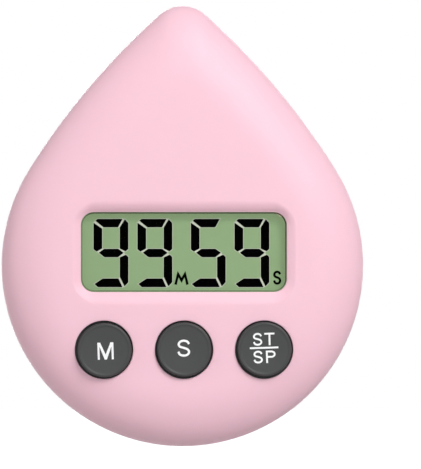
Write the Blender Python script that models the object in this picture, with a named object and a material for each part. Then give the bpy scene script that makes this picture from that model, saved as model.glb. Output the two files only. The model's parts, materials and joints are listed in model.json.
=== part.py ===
"""Digital shower timer: a drop-shaped case that hangs on a wall by a suction cup.

Metres, +Z up, and the front faces -Y. The origin is the centre of the suction cup's rim, on the
wall. The case's pieces are modelled in the case's own frame: X to the right, Y the depth behind
the front face, and Z the height above the case's lowest point.
"""

import math

import bmesh
import bpy
import numpy as np

MM = 0.001

# Clearances
GAP = 0.3 * MM
FILM_GAP = 0.1 * MM
SEAL_GAP = 0.2 * MM
SCREW_GAP = 0.15 * MM
ROOT = 0.15 * MM  # how far a rib or a tube is sunk in the wall that it grows from
PAST = 1.0 * MM  # how far a cutter runs past the face that it opens

# Display window
WINDOW_WIDTH = 39.7 * MM
WINDOW_HEIGHT = 15.4 * MM
WINDOW_CORNER = 2.5 * MM
WINDOW_Z = 37.5 * MM
BASIN_MARGIN = 2.4 * MM
BASIN_DEPTH = 0.9 * MM
# The basin's wall from outside in, as parts of its margin and of its depth
BASIN_PROFILE = ((1.5, -0.15), (1.0, 0.08), (0.5, 0.5), (0.16, 0.9), (0.0, 1.0))
LENS_GAP = 0.25 * MM
LENS_SINK = 0.25 * MM
LENS_FLANGE_THICKNESS = 0.8 * MM
GASKET_THICKNESS = 0.2 * MM

# Case outline: a bottom circle, a small circle at the tip and a long arc on each side
CASE_HEIGHT = 85.0 * MM
WINDOW_SIDE_MARGIN = 15.05 * MM  # from the window's end to the case's side
BOTTOM_RADIUS = WINDOW_WIDTH / 2 + WINDOW_SIDE_MARGIN
TIP_RADIUS = 6.6 * MM
SIDE_RADIUS = 137.5 * MM
BOTTOM_STEPS = 11
SIDE_STEPS = 6
TIP_STEPS = 4

# Case shells
CASE_DEPTH = 24.0 * MM
SEAM_DEPTH = 9.5 * MM
SIDE_WALL = 3.0 * MM
FRONT_WALL = 2.0 * MM
BACK_WALL = 2.0 * MM
BACK_FILLET = 4.0 * MM
INNER_FILLET = 1.5 * MM

# The front's broad edge curve, from the seam's outline to the flat middle
EDGE_CURVE_DEPTH = 7.5 * MM
INNER_CURVE_DEPTH = 3.5 * MM
FLAT_INSET = 11.0 * MM
FLAT_TIP_INSET = 16.0 * MM
FLAT_TIP_RADIUS = 5.0 * MM
EDGE_CURVE_POWER = 2.2
EDGE_CURVE_STEPS = 5
INNER_CURVE_STEPS = 3

# Case seal, in a groove in the rear shell's rim
SEAL_WIDTH = 1.0 * MM
SEAL_DEPTH = 1.3 * MM
GROOVE_LAND = 1.0 * MM

# Display glass, its films and its frame
GLASS_SIDE_MARGIN = 1.65 * MM
GLASS_END_MARGIN = 1.3 * MM
GLASS_WIDTH = WINDOW_WIDTH + 2 * GLASS_SIDE_MARGIN
GLASS_HEIGHT = WINDOW_HEIGHT + 2 * GLASS_END_MARGIN
LENS_OVERHANG = 0.25 * MM  # how far the lens's flange reaches past the glass
LENS_FLANGE = GLASS_SIDE_MARGIN + LENS_OVERHANG
GLASS_PLATE = 0.55 * MM
CONTACT_LEDGE = 2.5 * MM
GLASS_RISE = 0.75 * MM  # the glass's middle above the window's middle
FILM_THICKNESS = 0.2 * MM
FILM_MARGIN = 0.4 * MM
FRAME_WALL = 1.0 * MM
FRAME_LEDGE = 2.4 * MM
ZEBRA_WIDTH = 1.6 * MM
ZEBRA_LENGTH = 38.0 * MM

# Circuit board
BOARD_FRONT = 8.3 * MM
BOARD_THICKNESS = 1.2 * MM
BOARD_INSET = 5.0 * MM
BOARD_RISE = 5.95 * MM  # the board's top above the frame's
CHIP_RADIUS = 4.0 * MM
CHIP_HEIGHT = 1.4 * MM
CHIP_PLACE = (-8.0 * MM, 9.5 * MM)  # across, and down from the board's top
CRYSTAL_RADIUS = 1.0 * MM
CRYSTAL_LENGTH = 6.0 * MM
CRYSTAL_PLACE = (2.0 * MM, 9.5 * MM)
CAPACITOR_SIZE = (3.2 * MM, 1.4 * MM, 1.6 * MM)
CAPACITOR_PLACE = (9.5 * MM, 7.5 * MM)
RESISTOR_SIZE = (2.0 * MM, 0.6 * MM, 1.25 * MM)
RESISTOR_PLACE = (9.5 * MM, 11.5 * MM)

# Buttons
BUTTON_PITCH = 15.42 * MM
BUTTON_Z = 18.7 * MM
BUTTON_RADIUS = 5.3 * MM
BUTTON_PROUD = 1.2 * MM
# The cap's dished top and rounded edge: inset from its side and depth below its top, in mm
BUTTON_PROFILE = ((2.0, 0.25), (0.8, 0.0), (0.2, 0.15), (0.0, 0.5))
BUTTON_FLANGE = 0.9 * MM
BUTTON_FLANGE_THICKNESS = 0.8 * MM
PUSHER_RADIUS = 1.8 * MM
BUTTONS = {"minutes_button": -1, "seconds_button": 0, "start_stop_button": 1}

# Silicone mat with a dome behind each button
MAT_THICKNESS = 1.0 * MM
MAT_HEIGHT = 11.0 * MM
MAT_MARGIN = 5.0 * MM
MAT_CORNER = 2.0 * MM
DOME_HEIGHT = 1.7 * MM
DOME_RADIUS = 4.2 * MM
DOME_TOP_RADIUS = 2.6 * MM
DOME_SKIN = 0.7 * MM

# Fasteners
SCREW_SHANK_RADIUS = 1.0 * MM
SCREW_HEAD_RADIUS = 1.9 * MM
SCREW_HEAD_HEIGHT = 1.4 * MM
SCREW_TIP_RADIUS = 0.5 * MM
SCREW_HEAD_SIDE = 0.75 * MM
SCREW_HEAD_TOP_RADIUS = 1.4 * MM
SCREW_CROSS_LENGTH = 2.3 * MM
SCREW_CROSS_WIDTH = 0.5 * MM
SCREW_CROSS_DEPTH = 0.6 * MM
BOSS_RADIUS = 3.0 * MM
COUNTERBORE_RADIUS = 2.2 * MM
CASE_SCREW_SEAT = 15.5 * MM
CASE_SCREW_LENGTH = 10.5 * MM
CASE_SCREW_INSET = 6.8 * MM
UPPER_SCREW_GAP = 1.4 * MM  # from the display's frame to the upper bosses
TIP_SCREW_INSET = 12.0 * MM
BOARD_BOSS_RADIUS = 2.2 * MM
BOARD_SCREW_LENGTH = 5.0 * MM
BOARD_SCREW_X = 12.0 * MM
BOARD_SCREW_GAP = 0.55 * MM  # from the display's frame to the upper bosses
BOARD_SCREW_DROP = 8.0 * MM  # the lower pair below the buttons' middles

# Sounder
BUZZER_RADIUS = 6.0 * MM
BUZZER_THICKNESS = 0.3 * MM
BUZZER_RING_WIDTH = 1.0 * MM
BUZZER_RING_HEIGHT = 1.0 * MM
BUZZER_OVERHANG = 0.4 * MM
CERAMIC_RADIUS = 4.2 * MM
CERAMIC_THICKNESS = 0.2 * MM
LEAD_RADIUS = 0.4 * MM
LEAD_STEPS = 10
LEAD_DROP = 6.2 * MM
RED_LEAD_X = -2.0 * MM
BLACK_LEAD_X = 5.1 * MM
BLACK_PAD_X = 2.6 * MM

# Battery well, coin cell and door
DOOR_Z = 24.0 * MM
CELL_RADIUS = 10.0 * MM
CELL_THICKNESS = 3.2 * MM
CELL_CAP_INSET = 1.3 * MM
CELL_CRIMP = 0.4 * MM
WELL_RADIUS = 11.2 * MM
WELL_WALL = 1.3 * MM
WELL_FLOOR = 1.0 * MM
DOOR_RADIUS = 14.0 * MM
DOOR_FLANGE = 1.6 * MM
DOOR_NECK = 1.4 * MM
DOOR_CORE_RADIUS = 11.3 * MM
DOOR_HOLLOW_RADIUS = 9.0 * MM
DOOR_SKIN = 2.0 * MM
DOOR_BEVEL = 0.4 * MM
THREAD_LENGTH = 3.2 * MM
THREAD_HEIGHT = 0.8 * MM
THREAD_GAP = 0.25 * MM
THREAD_STARTS = 3
THREAD_LEAD = 8.0 * MM
THREAD_RINGS = 6
DOOR_STEPS = 42
COIN_SLOT_LENGTH = 15.0 * MM
COIN_SLOT_WIDTH = 1.9 * MM
COIN_SLOT_CORNER = 0.85 * MM
COIN_SLOT_DEPTH = 1.0 * MM
RING_SECTION = 1.0 * MM
CONTACT_THICKNESS = 0.3 * MM
LEAF_WIDTH = 3.0 * MM
LEAF_REACH = 6.0 * MM
CLIP_WIDTH = 5.0 * MM

# Suction cup and the keyhole that slides on its knob
KNOB_Z = 55.0 * MM
CUP_RADIUS = 17.5 * MM
CUP_RIM_WIDTH = 1.5 * MM
CUP_RIM_THICKNESS = 0.8 * MM
CUP_DOME_HEIGHT = 7.5 * MM
CUP_HOLLOW = 4.5 * MM
CUP_STEM_RADIUS = 5.0 * MM
CUP_STANDOFF = 11.0 * MM
CUP_STEPS = 32
CUP_CURVE_STEPS = 5
CUP_HOLLOW_POWER = 1.5
CUP_DOME_POWER = 1.6
NECK_RADIUS = 2.6 * MM
KNOB_RADIUS = 4.6 * MM
KNOB_THICKNESS = 2.2 * MM
KNOB_BEVEL = 0.8 * MM
KNOB_ROOM = 0.6 * MM
LIFT_TRAVEL = 9.5 * MM
POCKET_WALL = 1.2 * MM

# Depths that follow from the sizes above, counted back from the front face
RIM_DEPTH = SEAM_DEPTH + GAP
BACK_INSIDE = CASE_DEPTH - BACK_WALL
LENS_FRONT = FRONT_WALL + GASKET_THICKNESS + 2 * FILM_GAP
LENS_BACK = LENS_FRONT + LENS_FLANGE_THICKNESS
POLARISER_FRONT = LENS_BACK + GAP
GLASS_FRONT = POLARISER_FRONT + FILM_THICKNESS + FILM_GAP
GLASS_STEP = GLASS_FRONT + GLASS_PLATE
GLASS_BACK = GLASS_STEP + GLASS_PLATE
REFLECTOR_FRONT = GLASS_BACK + FILM_GAP
REFLECTOR_BACK = REFLECTOR_FRONT + FILM_THICKNESS
BOARD_BACK = BOARD_FRONT + BOARD_THICKNESS
MAT_BACK = BOARD_FRONT - GAP
MAT_FRONT = MAT_BACK - MAT_THICKNESS
DOME_TOP = MAT_FRONT - DOME_HEIGHT
FLANGE_BACK = CASE_DEPTH - DOOR_FLANGE
THREAD_TOP = FLANGE_BACK - DOOR_NECK
DOOR_FRONT = THREAD_TOP - THREAD_LENGTH
CELL_BACK = DOOR_FRONT - GAP
CELL_FRONT = CELL_BACK - CELL_THICKNESS
LEAF_FRONT = CELL_FRONT - GAP - CONTACT_THICKNESS
FLOOR_BACK = LEAF_FRONT - SEAL_GAP
FLOOR_FRONT = FLOOR_BACK - WELL_FLOOR
POCKET_FLOOR = BACK_INSIDE - GAP - KNOB_THICKNESS - KNOB_ROOM
BUZZER_FRONT = FRONT_WALL + BUZZER_RING_HEIGHT + SEAL_GAP
CERAMIC_FRONT = BUZZER_FRONT + BUZZER_THICKNESS + FILM_GAP
CERAMIC_BACK = CERAMIC_FRONT + CERAMIC_THICKNESS

# The glass's outer sizes about the window's middle
GLASS_TOP = GLASS_RISE + GLASS_HEIGHT / 2
GLASS_FOOT = GLASS_RISE - GLASS_HEIGHT / 2
LEDGE_FOOT = GLASS_FOOT - CONTACT_LEDGE
FRAME_HALF_WIDTH = GLASS_WIDTH / 2 + GAP + FRAME_WALL
FRAME_TOP = GLASS_TOP + GAP + FRAME_WALL
FRAME_FOOT = LEDGE_FOOT - GAP - FRAME_WALL

# Heights that follow from the frame: the board's top, and the sounder in the room above
BOARD_TOP = WINDOW_Z + FRAME_TOP + BOARD_RISE
TIP_SCREW_Z = CASE_HEIGHT - TIP_SCREW_INSET
BUZZER_Z = (WINDOW_Z + FRAME_TOP + TIP_SCREW_Z - BOSS_RADIUS) / 2

# Facets of round pieces, and the angle from which an edge is drawn sharp
SCREW_STEPS = 10
BOSS_STEPS = 12
BUTTON_STEPS = 24
ROUND_END_STEPS = 8
ROUND_END = 0.98  # a round end's corner radius, as a part of the slot's half width
SHARP_ANGLE = math.radians(30)


def clear_scene():
    """Remove what the startup scene holds."""
    for obj in list(bpy.data.objects):
        bpy.data.objects.remove(obj, do_unlink=True)


def finish(name, red, green, blue, roughness, metallic=0.0, transmission=0.0):
    """A Principled material from screen colour values between 0 and 255."""
    material = bpy.data.materials.new(name)
    material.use_nodes = True
    shader = material.node_tree.nodes["Principled BSDF"]
    linear = [(value / 255) ** 2.2 for value in (red, green, blue)]
    shader.inputs["Base Color"].default_value = (*linear, 1.0)
    shader.inputs["Roughness"].default_value = roughness
    shader.inputs["Metallic"].default_value = metallic
    shader.inputs["Transmission Weight"].default_value = transmission
    material.diffuse_color = (*linear, 1.0)
    return material


def circle(radius, depth, steps, x=0.0, z=0.0):
    """A ring of points about an axis along Y. The angle runs from +Z towards +X.

    The radius is one number, or one for each point.
    """
    angle = np.arange(steps) * (2 * math.pi / steps)
    radius = np.broadcast_to(radius, angle.shape)
    return np.column_stack(
        (x + radius * np.sin(angle), np.full(steps, depth), z + radius * np.cos(angle))
    )


def rectangle(width, height, corner, depth, z=0.0, steps=4):
    """A ring of points round a rectangle with rounded corners, about an axis along Y."""
    points = []
    for quarter in range(4):
        middle = math.radians(45 + 90 * quarter)
        across = math.copysign(width / 2 - corner, math.sin(middle))
        up = math.copysign(height / 2 - corner, math.cos(middle))
        for step in range(steps + 1):
            angle = math.radians(90 * (quarter + step / steps))
            points.append(
                (across + corner * math.sin(angle), depth, z + up + corner * math.cos(angle))
            )
    return np.array(points)


def drop(side_inset, depth, tip_inset=None, tip_radius=None):
    """A ring of points round the drop outline, drawn in by an inset.

    The bottom circle keeps its centre. The side arcs touch it and the tip circle: their centre
    lies where its distance to each circle's centre is the difference of the radii.
    """
    tip_inset = side_inset if tip_inset is None else tip_inset
    tip_radius = TIP_RADIUS - side_inset if tip_radius is None else tip_radius
    bottom_radius = BOTTOM_RADIUS - side_inset
    side_radius = SIDE_RADIUS - side_inset
    tip_z = CASE_HEIGHT - tip_inset - tip_radius
    to_bottom = side_radius - bottom_radius
    to_tip = side_radius - tip_radius
    rise = tip_z - BOTTOM_RADIUS
    side_z = (BOTTOM_RADIUS + tip_z) / 2 + (to_bottom**2 - to_tip**2) / (2 * rise)
    side_x = -math.sqrt(to_bottom**2 - (side_z - BOTTOM_RADIUS) ** 2)
    low = math.atan2(BOTTOM_RADIUS - side_z, -side_x)
    high = math.atan2(tip_z - side_z, -side_x)
    arcs = (
        (0.0, BOTTOM_RADIUS, bottom_radius, -math.pi / 2, low, BOTTOM_STEPS),
        (side_x, side_z, side_radius, low, high, SIDE_STEPS),
        (0.0, tip_z, tip_radius, high, math.pi / 2, TIP_STEPS),
    )
    right = []
    for x, z, radius, start, end, steps in arcs:
        for step in range(steps):
            angle = start + (end - start) * step / steps
            right.append((x + radius * math.cos(angle), z + radius * math.sin(angle)))
    right.append((0.0, tip_z + tip_radius))
    left = [(-x, z) for x, z in right[-2:0:-1]]
    return np.array([(x, depth, z) for x, z in right + left])


def front_curve(start_inset, start_depth, end_depth, steps):
    """Rings from the case's side to its flat front, along a quarter of a rounded ellipse."""
    start_tip_radius = TIP_RADIUS - start_inset
    rings = []
    for step in range(steps + 1):
        angle = math.pi / 2 * step / steps
        along = 1 - math.cos(angle) ** (2 / EDGE_CURVE_POWER)
        fall = 1 - math.sin(angle) ** (2 / EDGE_CURVE_POWER)
        rings.append(
            drop(
                start_inset + (FLAT_INSET - start_inset) * along,
                end_depth + (start_depth - end_depth) * fall,
                start_inset + (FLAT_TIP_INSET - start_inset) * along,
                start_tip_radius + (FLAT_TIP_RADIUS - start_tip_radius) * along,
            )
        )
    return rings


def loft(name, rings, closed=False):
    """A mesh through rings of equally many points, in order. Open ends get a flat cap."""
    steps = len(rings[0])
    count = len(rings)
    faces = []
    for ring in range(count if closed else count - 1):
        after = (ring + 1) % count
        for step in range(steps):
            beside = (step + 1) % steps
            faces.append(
                (
                    ring * steps + step,
                    ring * steps + beside,
                    after * steps + beside,
                    after * steps + step,
                )
            )
    if not closed:
        faces.append(tuple(range(steps)))
        faces.append(tuple(range((count - 1) * steps, count * steps)))
    mesh = bpy.data.meshes.new(name)
    mesh.from_pydata(np.vstack(rings).tolist(), [], faces)
    shape = bmesh.new()
    shape.from_mesh(mesh)
    bmesh.ops.recalc_face_normals(shape, faces=shape.faces)
    shape.to_mesh(mesh)
    shape.free()
    mesh.shade_smooth()
    mesh.set_sharp_from_angle(angle=SHARP_ANGLE)
    return mesh


def turned(name, profile, steps, closed=False, x=0.0, z=0.0):
    """A mesh turned about an axis along Y, from (radius, depth) points."""
    return loft(name, [circle(radius, depth, steps, x, z) for radius, depth in profile], closed)


def block(name, x, depth, z):
    """A box mesh from its limits along X, in depth and along Z."""
    corners = [(x[0], z[0]), (x[1], z[0]), (x[1], z[1]), (x[0], z[1])]
    return loft(name, [np.array([(a, level, b) for a, b in corners]) for level in depth])


def piece(name, mesh, material, parent, location=(0.0, 0.0, 0.0)):
    """An object of the model."""
    obj = bpy.data.objects.new(name, mesh)
    bpy.context.scene.collection.objects.link(obj)
    if not mesh.materials:
        mesh.materials.append(material)
    obj.parent = parent
    obj.location = location
    return obj


def helper(mesh, parent):
    """An object that only shapes another one, and isn't part of the model."""
    obj = bpy.data.objects.new(mesh.name, mesh)
    obj.parent = parent
    obj.hide_render = True
    obj.display_type = "WIRE"
    return obj


def shaped(target, operation, meshes, parent):
    """Joins helper shapes to a piece, or cuts them out of it."""
    group = bpy.data.collections.new(f"{target.name}_{operation.lower()}")
    bpy.context.scene.collection.children.link(group)
    group.hide_render = True
    for mesh in meshes:
        group.objects.link(helper(mesh, parent))
    modifier = target.modifiers.new(operation.title(), "BOOLEAN")
    modifier.operation = operation
    modifier.operand_type = "COLLECTION"
    modifier.collection = group
    modifier.solver = "EXACT"


def baked(obj):
    """The mesh of an object with its modifiers applied, for pieces that share it."""
    graph = bpy.context.evaluated_depsgraph_get()
    mesh = bpy.data.meshes.new_from_object(obj.evaluated_get(graph))
    obj.modifiers.clear()
    obj.data = mesh
    return mesh


def case_screw_places():
    """Where each case screw stands: at the tip, at the foot, and at each side above and below
    the display's frame."""
    reach = BOTTOM_RADIUS - CASE_SCREW_INSET
    upper = WINDOW_Z + FRAME_TOP + UPPER_SCREW_GAP + BOSS_RADIUS
    lower = WINDOW_Z + FRAME_FOOT - GAP - BOSS_RADIUS
    places = {
        "case_screw_tip": (0.0, TIP_SCREW_Z),
        "case_screw_bottom": (0.0, CASE_SCREW_INSET),
    }
    for level, z in (("upper", upper), ("lower", lower)):
        x = math.sqrt(reach**2 - (z - BOTTOM_RADIUS) ** 2)
        places[f"case_screw_{level}_left"] = (-x, z)
        places[f"case_screw_{level}_right"] = (x, z)
    return places


def board_screw_places():
    """Where each board screw stands: above the display's frame, and between the buttons."""
    upper = WINDOW_Z + FRAME_TOP + BOARD_SCREW_GAP + BOARD_BOSS_RADIUS
    lower = BUTTON_Z - BOARD_SCREW_DROP
    return {
        "board_screw_upper_left": (-BOARD_SCREW_X, upper),
        "board_screw_upper_right": (BOARD_SCREW_X, upper),
        "board_screw_lower_left": (-BUTTON_PITCH / 2, lower),
        "board_screw_lower_right": (BUTTON_PITCH / 2, lower),
    }


def thread_ring(core_radius, depth):
    """A ring across a screw thread with several starts: the radius swells once for each start,
    and the swelling turns with the depth by the thread's lead."""
    angle = np.arange(DOOR_STEPS) * (2 * math.pi / DOOR_STEPS)
    phase = THREAD_STARTS * (angle - 2 * math.pi * depth / THREAD_LEAD)
    return circle(core_radius + THREAD_HEIGHT * (1 + np.cos(phase)) / 2, depth, DOOR_STEPS)


def thread(core_radius, start, end):
    """The rings of a thread between two depths."""
    return [
        thread_ring(core_radius, start + (end - start) * step / (THREAD_RINGS - 1))
        for step in range(THREAD_RINGS)
    ]


def make_front_shell(case, plastic):
    """The front casing: a shell with the window, three button holes and its bosses."""
    inner = front_curve(
        SIDE_WALL, FRONT_WALL + INNER_CURVE_DEPTH, FRONT_WALL, INNER_CURVE_STEPS
    )
    outer = front_curve(0.0, EDGE_CURVE_DEPTH, 0.0, EDGE_CURVE_STEPS)
    rim = [drop(SIDE_WALL, SEAM_DEPTH), drop(0.0, SEAM_DEPTH)]
    shell = piece("front_shell", loft("front_shell", inner[::-1] + rim + outer), plastic, case)

    ribs = []
    root = FRONT_WALL - ROOT
    for name, (x, z) in case_screw_places().items():
        ends = [(BOSS_RADIUS, root), (BOSS_RADIUS, SEAM_DEPTH)]
        ribs.append(turned(f"front_boss_{name}", ends, BOSS_STEPS, x=x, z=z))
    for name, (x, z) in board_screw_places().items():
        ends = [(BOARD_BOSS_RADIUS, root), (BOARD_BOSS_RADIUS, BOARD_FRONT - GAP)]
        ribs.append(turned(f"front_boss_{name}", ends, BOSS_STEPS, x=x, z=z))
    ring_outer = BUZZER_RADIUS - BUZZER_OVERHANG
    ring_inner = ring_outer - BUZZER_RING_WIDTH
    ring_end = FRONT_WALL + BUZZER_RING_HEIGHT
    ring = [
        (ring_inner, root),
        (ring_outer, root),
        (ring_outer, ring_end),
        (ring_inner, ring_end),
    ]
    ribs.append(turned("front_buzzer_ring", ring, BUTTON_STEPS, closed=True, z=BUZZER_Z))
    shaped(shell, "UNION", ribs, case)

    cuts = [window_cut()]
    for name, side in BUTTONS.items():
        hole = BUTTON_RADIUS + GAP
        recess = BUTTON_RADIUS + BUTTON_FLANGE + GAP
        profile = [
            (hole, -PAST),
            (hole, FRONT_WALL),
            (recess, FRONT_WALL),
            (recess, FRONT_WALL + INNER_CURVE_DEPTH),
        ]
        cuts.append(
            turned(f"front_hole_{name}", profile, BUTTON_STEPS, x=side * BUTTON_PITCH, z=BUTTON_Z)
        )
    pilot = SCREW_SHANK_RADIUS + SCREW_GAP
    for name, (x, z) in case_screw_places().items():
        end = CASE_SCREW_SEAT - CASE_SCREW_LENGTH - GAP
        ends = [(pilot, end), (pilot, SEAM_DEPTH + PAST)]
        cuts.append(turned(f"front_pilot_{name}", ends, SCREW_STEPS, x=x, z=z))
    for name, (x, z) in board_screw_places().items():
        end = BOARD_BACK - BOARD_SCREW_LENGTH - GAP
        ends = [(pilot, end), (pilot, BOARD_FRONT + PAST)]
        cuts.append(turned(f"front_pilot_{name}", ends, SCREW_STEPS, x=x, z=z))
    shaped(shell, "DIFFERENCE", cuts, case)


def window_cut():
    """The window's cutter: a soft basin that narrows to the opening."""
    levels = [(across * BASIN_MARGIN, down * BASIN_DEPTH) for across, down in BASIN_PROFILE]
    levels.append((0.0, FRONT_WALL + PAST))
    rings = [
        rectangle(
            WINDOW_WIDTH + 2 * margin,
            WINDOW_HEIGHT + 2 * margin,
            WINDOW_CORNER + margin,
            depth,
            WINDOW_Z,
        )
        for margin, depth in levels
    ]
    return loft("front_window", rings)


def make_window(case, clear, adhesive):
    """The lens, stepped so that it fills the opening, and its adhesive ring."""
    width = WINDOW_WIDTH - 2 * LENS_GAP
    height = WINDOW_HEIGHT - 2 * LENS_GAP
    corner = WINDOW_CORNER - LENS_GAP
    wide = WINDOW_WIDTH + 2 * LENS_FLANGE
    tall = WINDOW_HEIGHT + 2 * LENS_FLANGE
    rounded = WINDOW_CORNER + LENS_FLANGE / 2
    rings = [
        rectangle(width, height, corner, BASIN_DEPTH + LENS_SINK, WINDOW_Z),
        rectangle(width, height, corner, LENS_FRONT, WINDOW_Z),
        rectangle(wide, tall, rounded, LENS_FRONT, WINDOW_Z),
        rectangle(wide, tall, rounded, LENS_BACK, WINDOW_Z),
    ]
    piece("window_lens", loft("window_lens", rings), clear, case)

    front = FRONT_WALL + FILM_GAP
    back = front + GASKET_THICKNESS
    inner = (WINDOW_WIDTH + 2 * GAP, WINDOW_HEIGHT + 2 * GAP, WINDOW_CORNER + GAP)
    outer = (wide - 2 * SEAL_GAP, tall - 2 * SEAL_GAP, rounded - SEAL_GAP)
    rings = [
        rectangle(*inner, front, WINDOW_Z),
        rectangle(*outer, front, WINDOW_Z),
        rectangle(*outer, back, WINDOW_Z),
        rectangle(*inner, back, WINDOW_Z),
    ]
    piece("lens_gasket", loft("lens_gasket", rings, closed=True), adhesive, case)


def make_display(case, glass, film, silver, frame_plastic, rubber):
    """The display glass with its contact ledge, two films, the frame and the rubber strip."""
    half = GLASS_WIDTH / 2
    side = (-half, half)
    top = WINDOW_Z + GLASS_TOP
    foot = WINDOW_Z + GLASS_FOOT
    ledge = WINDOW_Z + LEDGE_FOOT
    profile = [
        (GLASS_FRONT, ledge),
        (GLASS_FRONT, top),
        (GLASS_BACK, top),
        (GLASS_BACK, foot),
        (GLASS_STEP, foot),
        (GLASS_STEP, ledge),
    ]
    rings = [np.array([(x, depth, z) for depth, z in profile]) for x in side]
    piece("lcd_panel", loft("lcd_panel", rings), glass, case)

    film_x = (-half + FILM_MARGIN, half - FILM_MARGIN)
    film_z = (foot + FILM_MARGIN, top - FILM_MARGIN)
    depth = (POLARISER_FRONT, POLARISER_FRONT + FILM_THICKNESS)
    piece("lcd_polariser", block("lcd_polariser", film_x, depth, film_z), film, case)
    depth = (REFLECTOR_FRONT, REFLECTOR_BACK)
    piece("lcd_reflector", block("lcd_reflector", film_x, depth, film_z), silver, case)

    zebra_z = (foot + ledge) / 2
    strip_z = (zebra_z - ZEBRA_WIDTH / 2, zebra_z + ZEBRA_WIDTH / 2)
    strip_x = (-ZEBRA_LENGTH / 2, ZEBRA_LENGTH / 2)
    depth = (GLASS_STEP + GAP, BOARD_FRONT - GAP)
    piece("zebra_strip", block("zebra_strip", strip_x, depth, strip_z), rubber, case)

    frame_x = (-FRAME_HALF_WIDTH, FRAME_HALF_WIDTH)
    frame_z = (WINDOW_Z + FRAME_FOOT, WINDOW_Z + FRAME_TOP)
    depth = (POLARISER_FRONT, BOARD_FRONT - GAP)
    frame = piece("lcd_frame", block("lcd_frame", frame_x, depth, frame_z), frame_plastic, case)
    pocket = block(
        "frame_pocket",
        (-half - GAP, half + GAP),
        (POLARISER_FRONT - PAST, REFLECTOR_BACK + FILM_GAP),
        (ledge - GAP, top + GAP),
    )
    opening = block(
        "frame_opening",
        (-half + FRAME_LEDGE, half - FRAME_LEDGE),
        (POLARISER_FRONT, BOARD_FRONT + PAST),
        (foot + FRAME_LEDGE, top - FRAME_LEDGE),
    )
    slot = block(
        "frame_slot",
        (strip_x[0] - GAP, strip_x[1] + GAP),
        (POLARISER_FRONT, BOARD_FRONT + PAST),
        (strip_z[0] - GAP, strip_z[1] + GAP),
    )
    shaped(frame, "DIFFERENCE", [pocket, opening, slot], case)


def make_buttons(case, cap):
    """The three caps: a dished top, a flange behind the wall and a pusher."""
    flange_front = FRONT_WALL + GAP
    flange_back = flange_front + BUTTON_FLANGE_THICKNESS
    flange_radius = BUTTON_RADIUS + BUTTON_FLANGE
    profile = [
        (BUTTON_RADIUS - inset * MM, -BUTTON_PROUD + down * MM) for inset, down in BUTTON_PROFILE
    ]
    profile += [
        (BUTTON_RADIUS, flange_front),
        (flange_radius, flange_front),
        (flange_radius, flange_back),
        (PUSHER_RADIUS, flange_back),
        (PUSHER_RADIUS, DOME_TOP - GAP),
    ]
    mesh = turned("button", profile, BUTTON_STEPS)
    for name, side in BUTTONS.items():
        piece(name, mesh, cap, case, (side * BUTTON_PITCH, 0.0, BUTTON_Z))


def make_keypad(case, silicone):
    """The mat on the board, with a hollow dome behind each button."""
    width = 2 * (BUTTON_PITCH + MAT_MARGIN)
    rings = [
        rectangle(width, MAT_HEIGHT, MAT_CORNER, depth, BUTTON_Z) for depth in (MAT_FRONT, MAT_BACK)
    ]
    mat = piece("keypad_mat", loft("keypad_mat", rings), silicone, case)
    domes = []
    hollows = []
    for name, side in BUTTONS.items():
        x = side * BUTTON_PITCH
        dome = [
            (DOME_TOP_RADIUS, DOME_TOP),
            (DOME_RADIUS, MAT_FRONT),
            (DOME_RADIUS, MAT_FRONT + ROOT),
        ]
        hollow = [
            (DOME_TOP_RADIUS - DOME_SKIN, DOME_TOP + DOME_SKIN),
            (DOME_RADIUS - DOME_SKIN, MAT_FRONT),
            (DOME_RADIUS - DOME_SKIN, MAT_BACK + PAST),
        ]
        domes.append(turned(f"mat_dome_{name}", dome, BOSS_STEPS, x=x, z=BUTTON_Z))
        hollows.append(turned(f"mat_hollow_{name}", hollow, BOSS_STEPS, x=x, z=BUTTON_Z))
    shaped(mat, "UNION", domes, case)
    shaped(mat, "DIFFERENCE", hollows, case)


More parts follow.
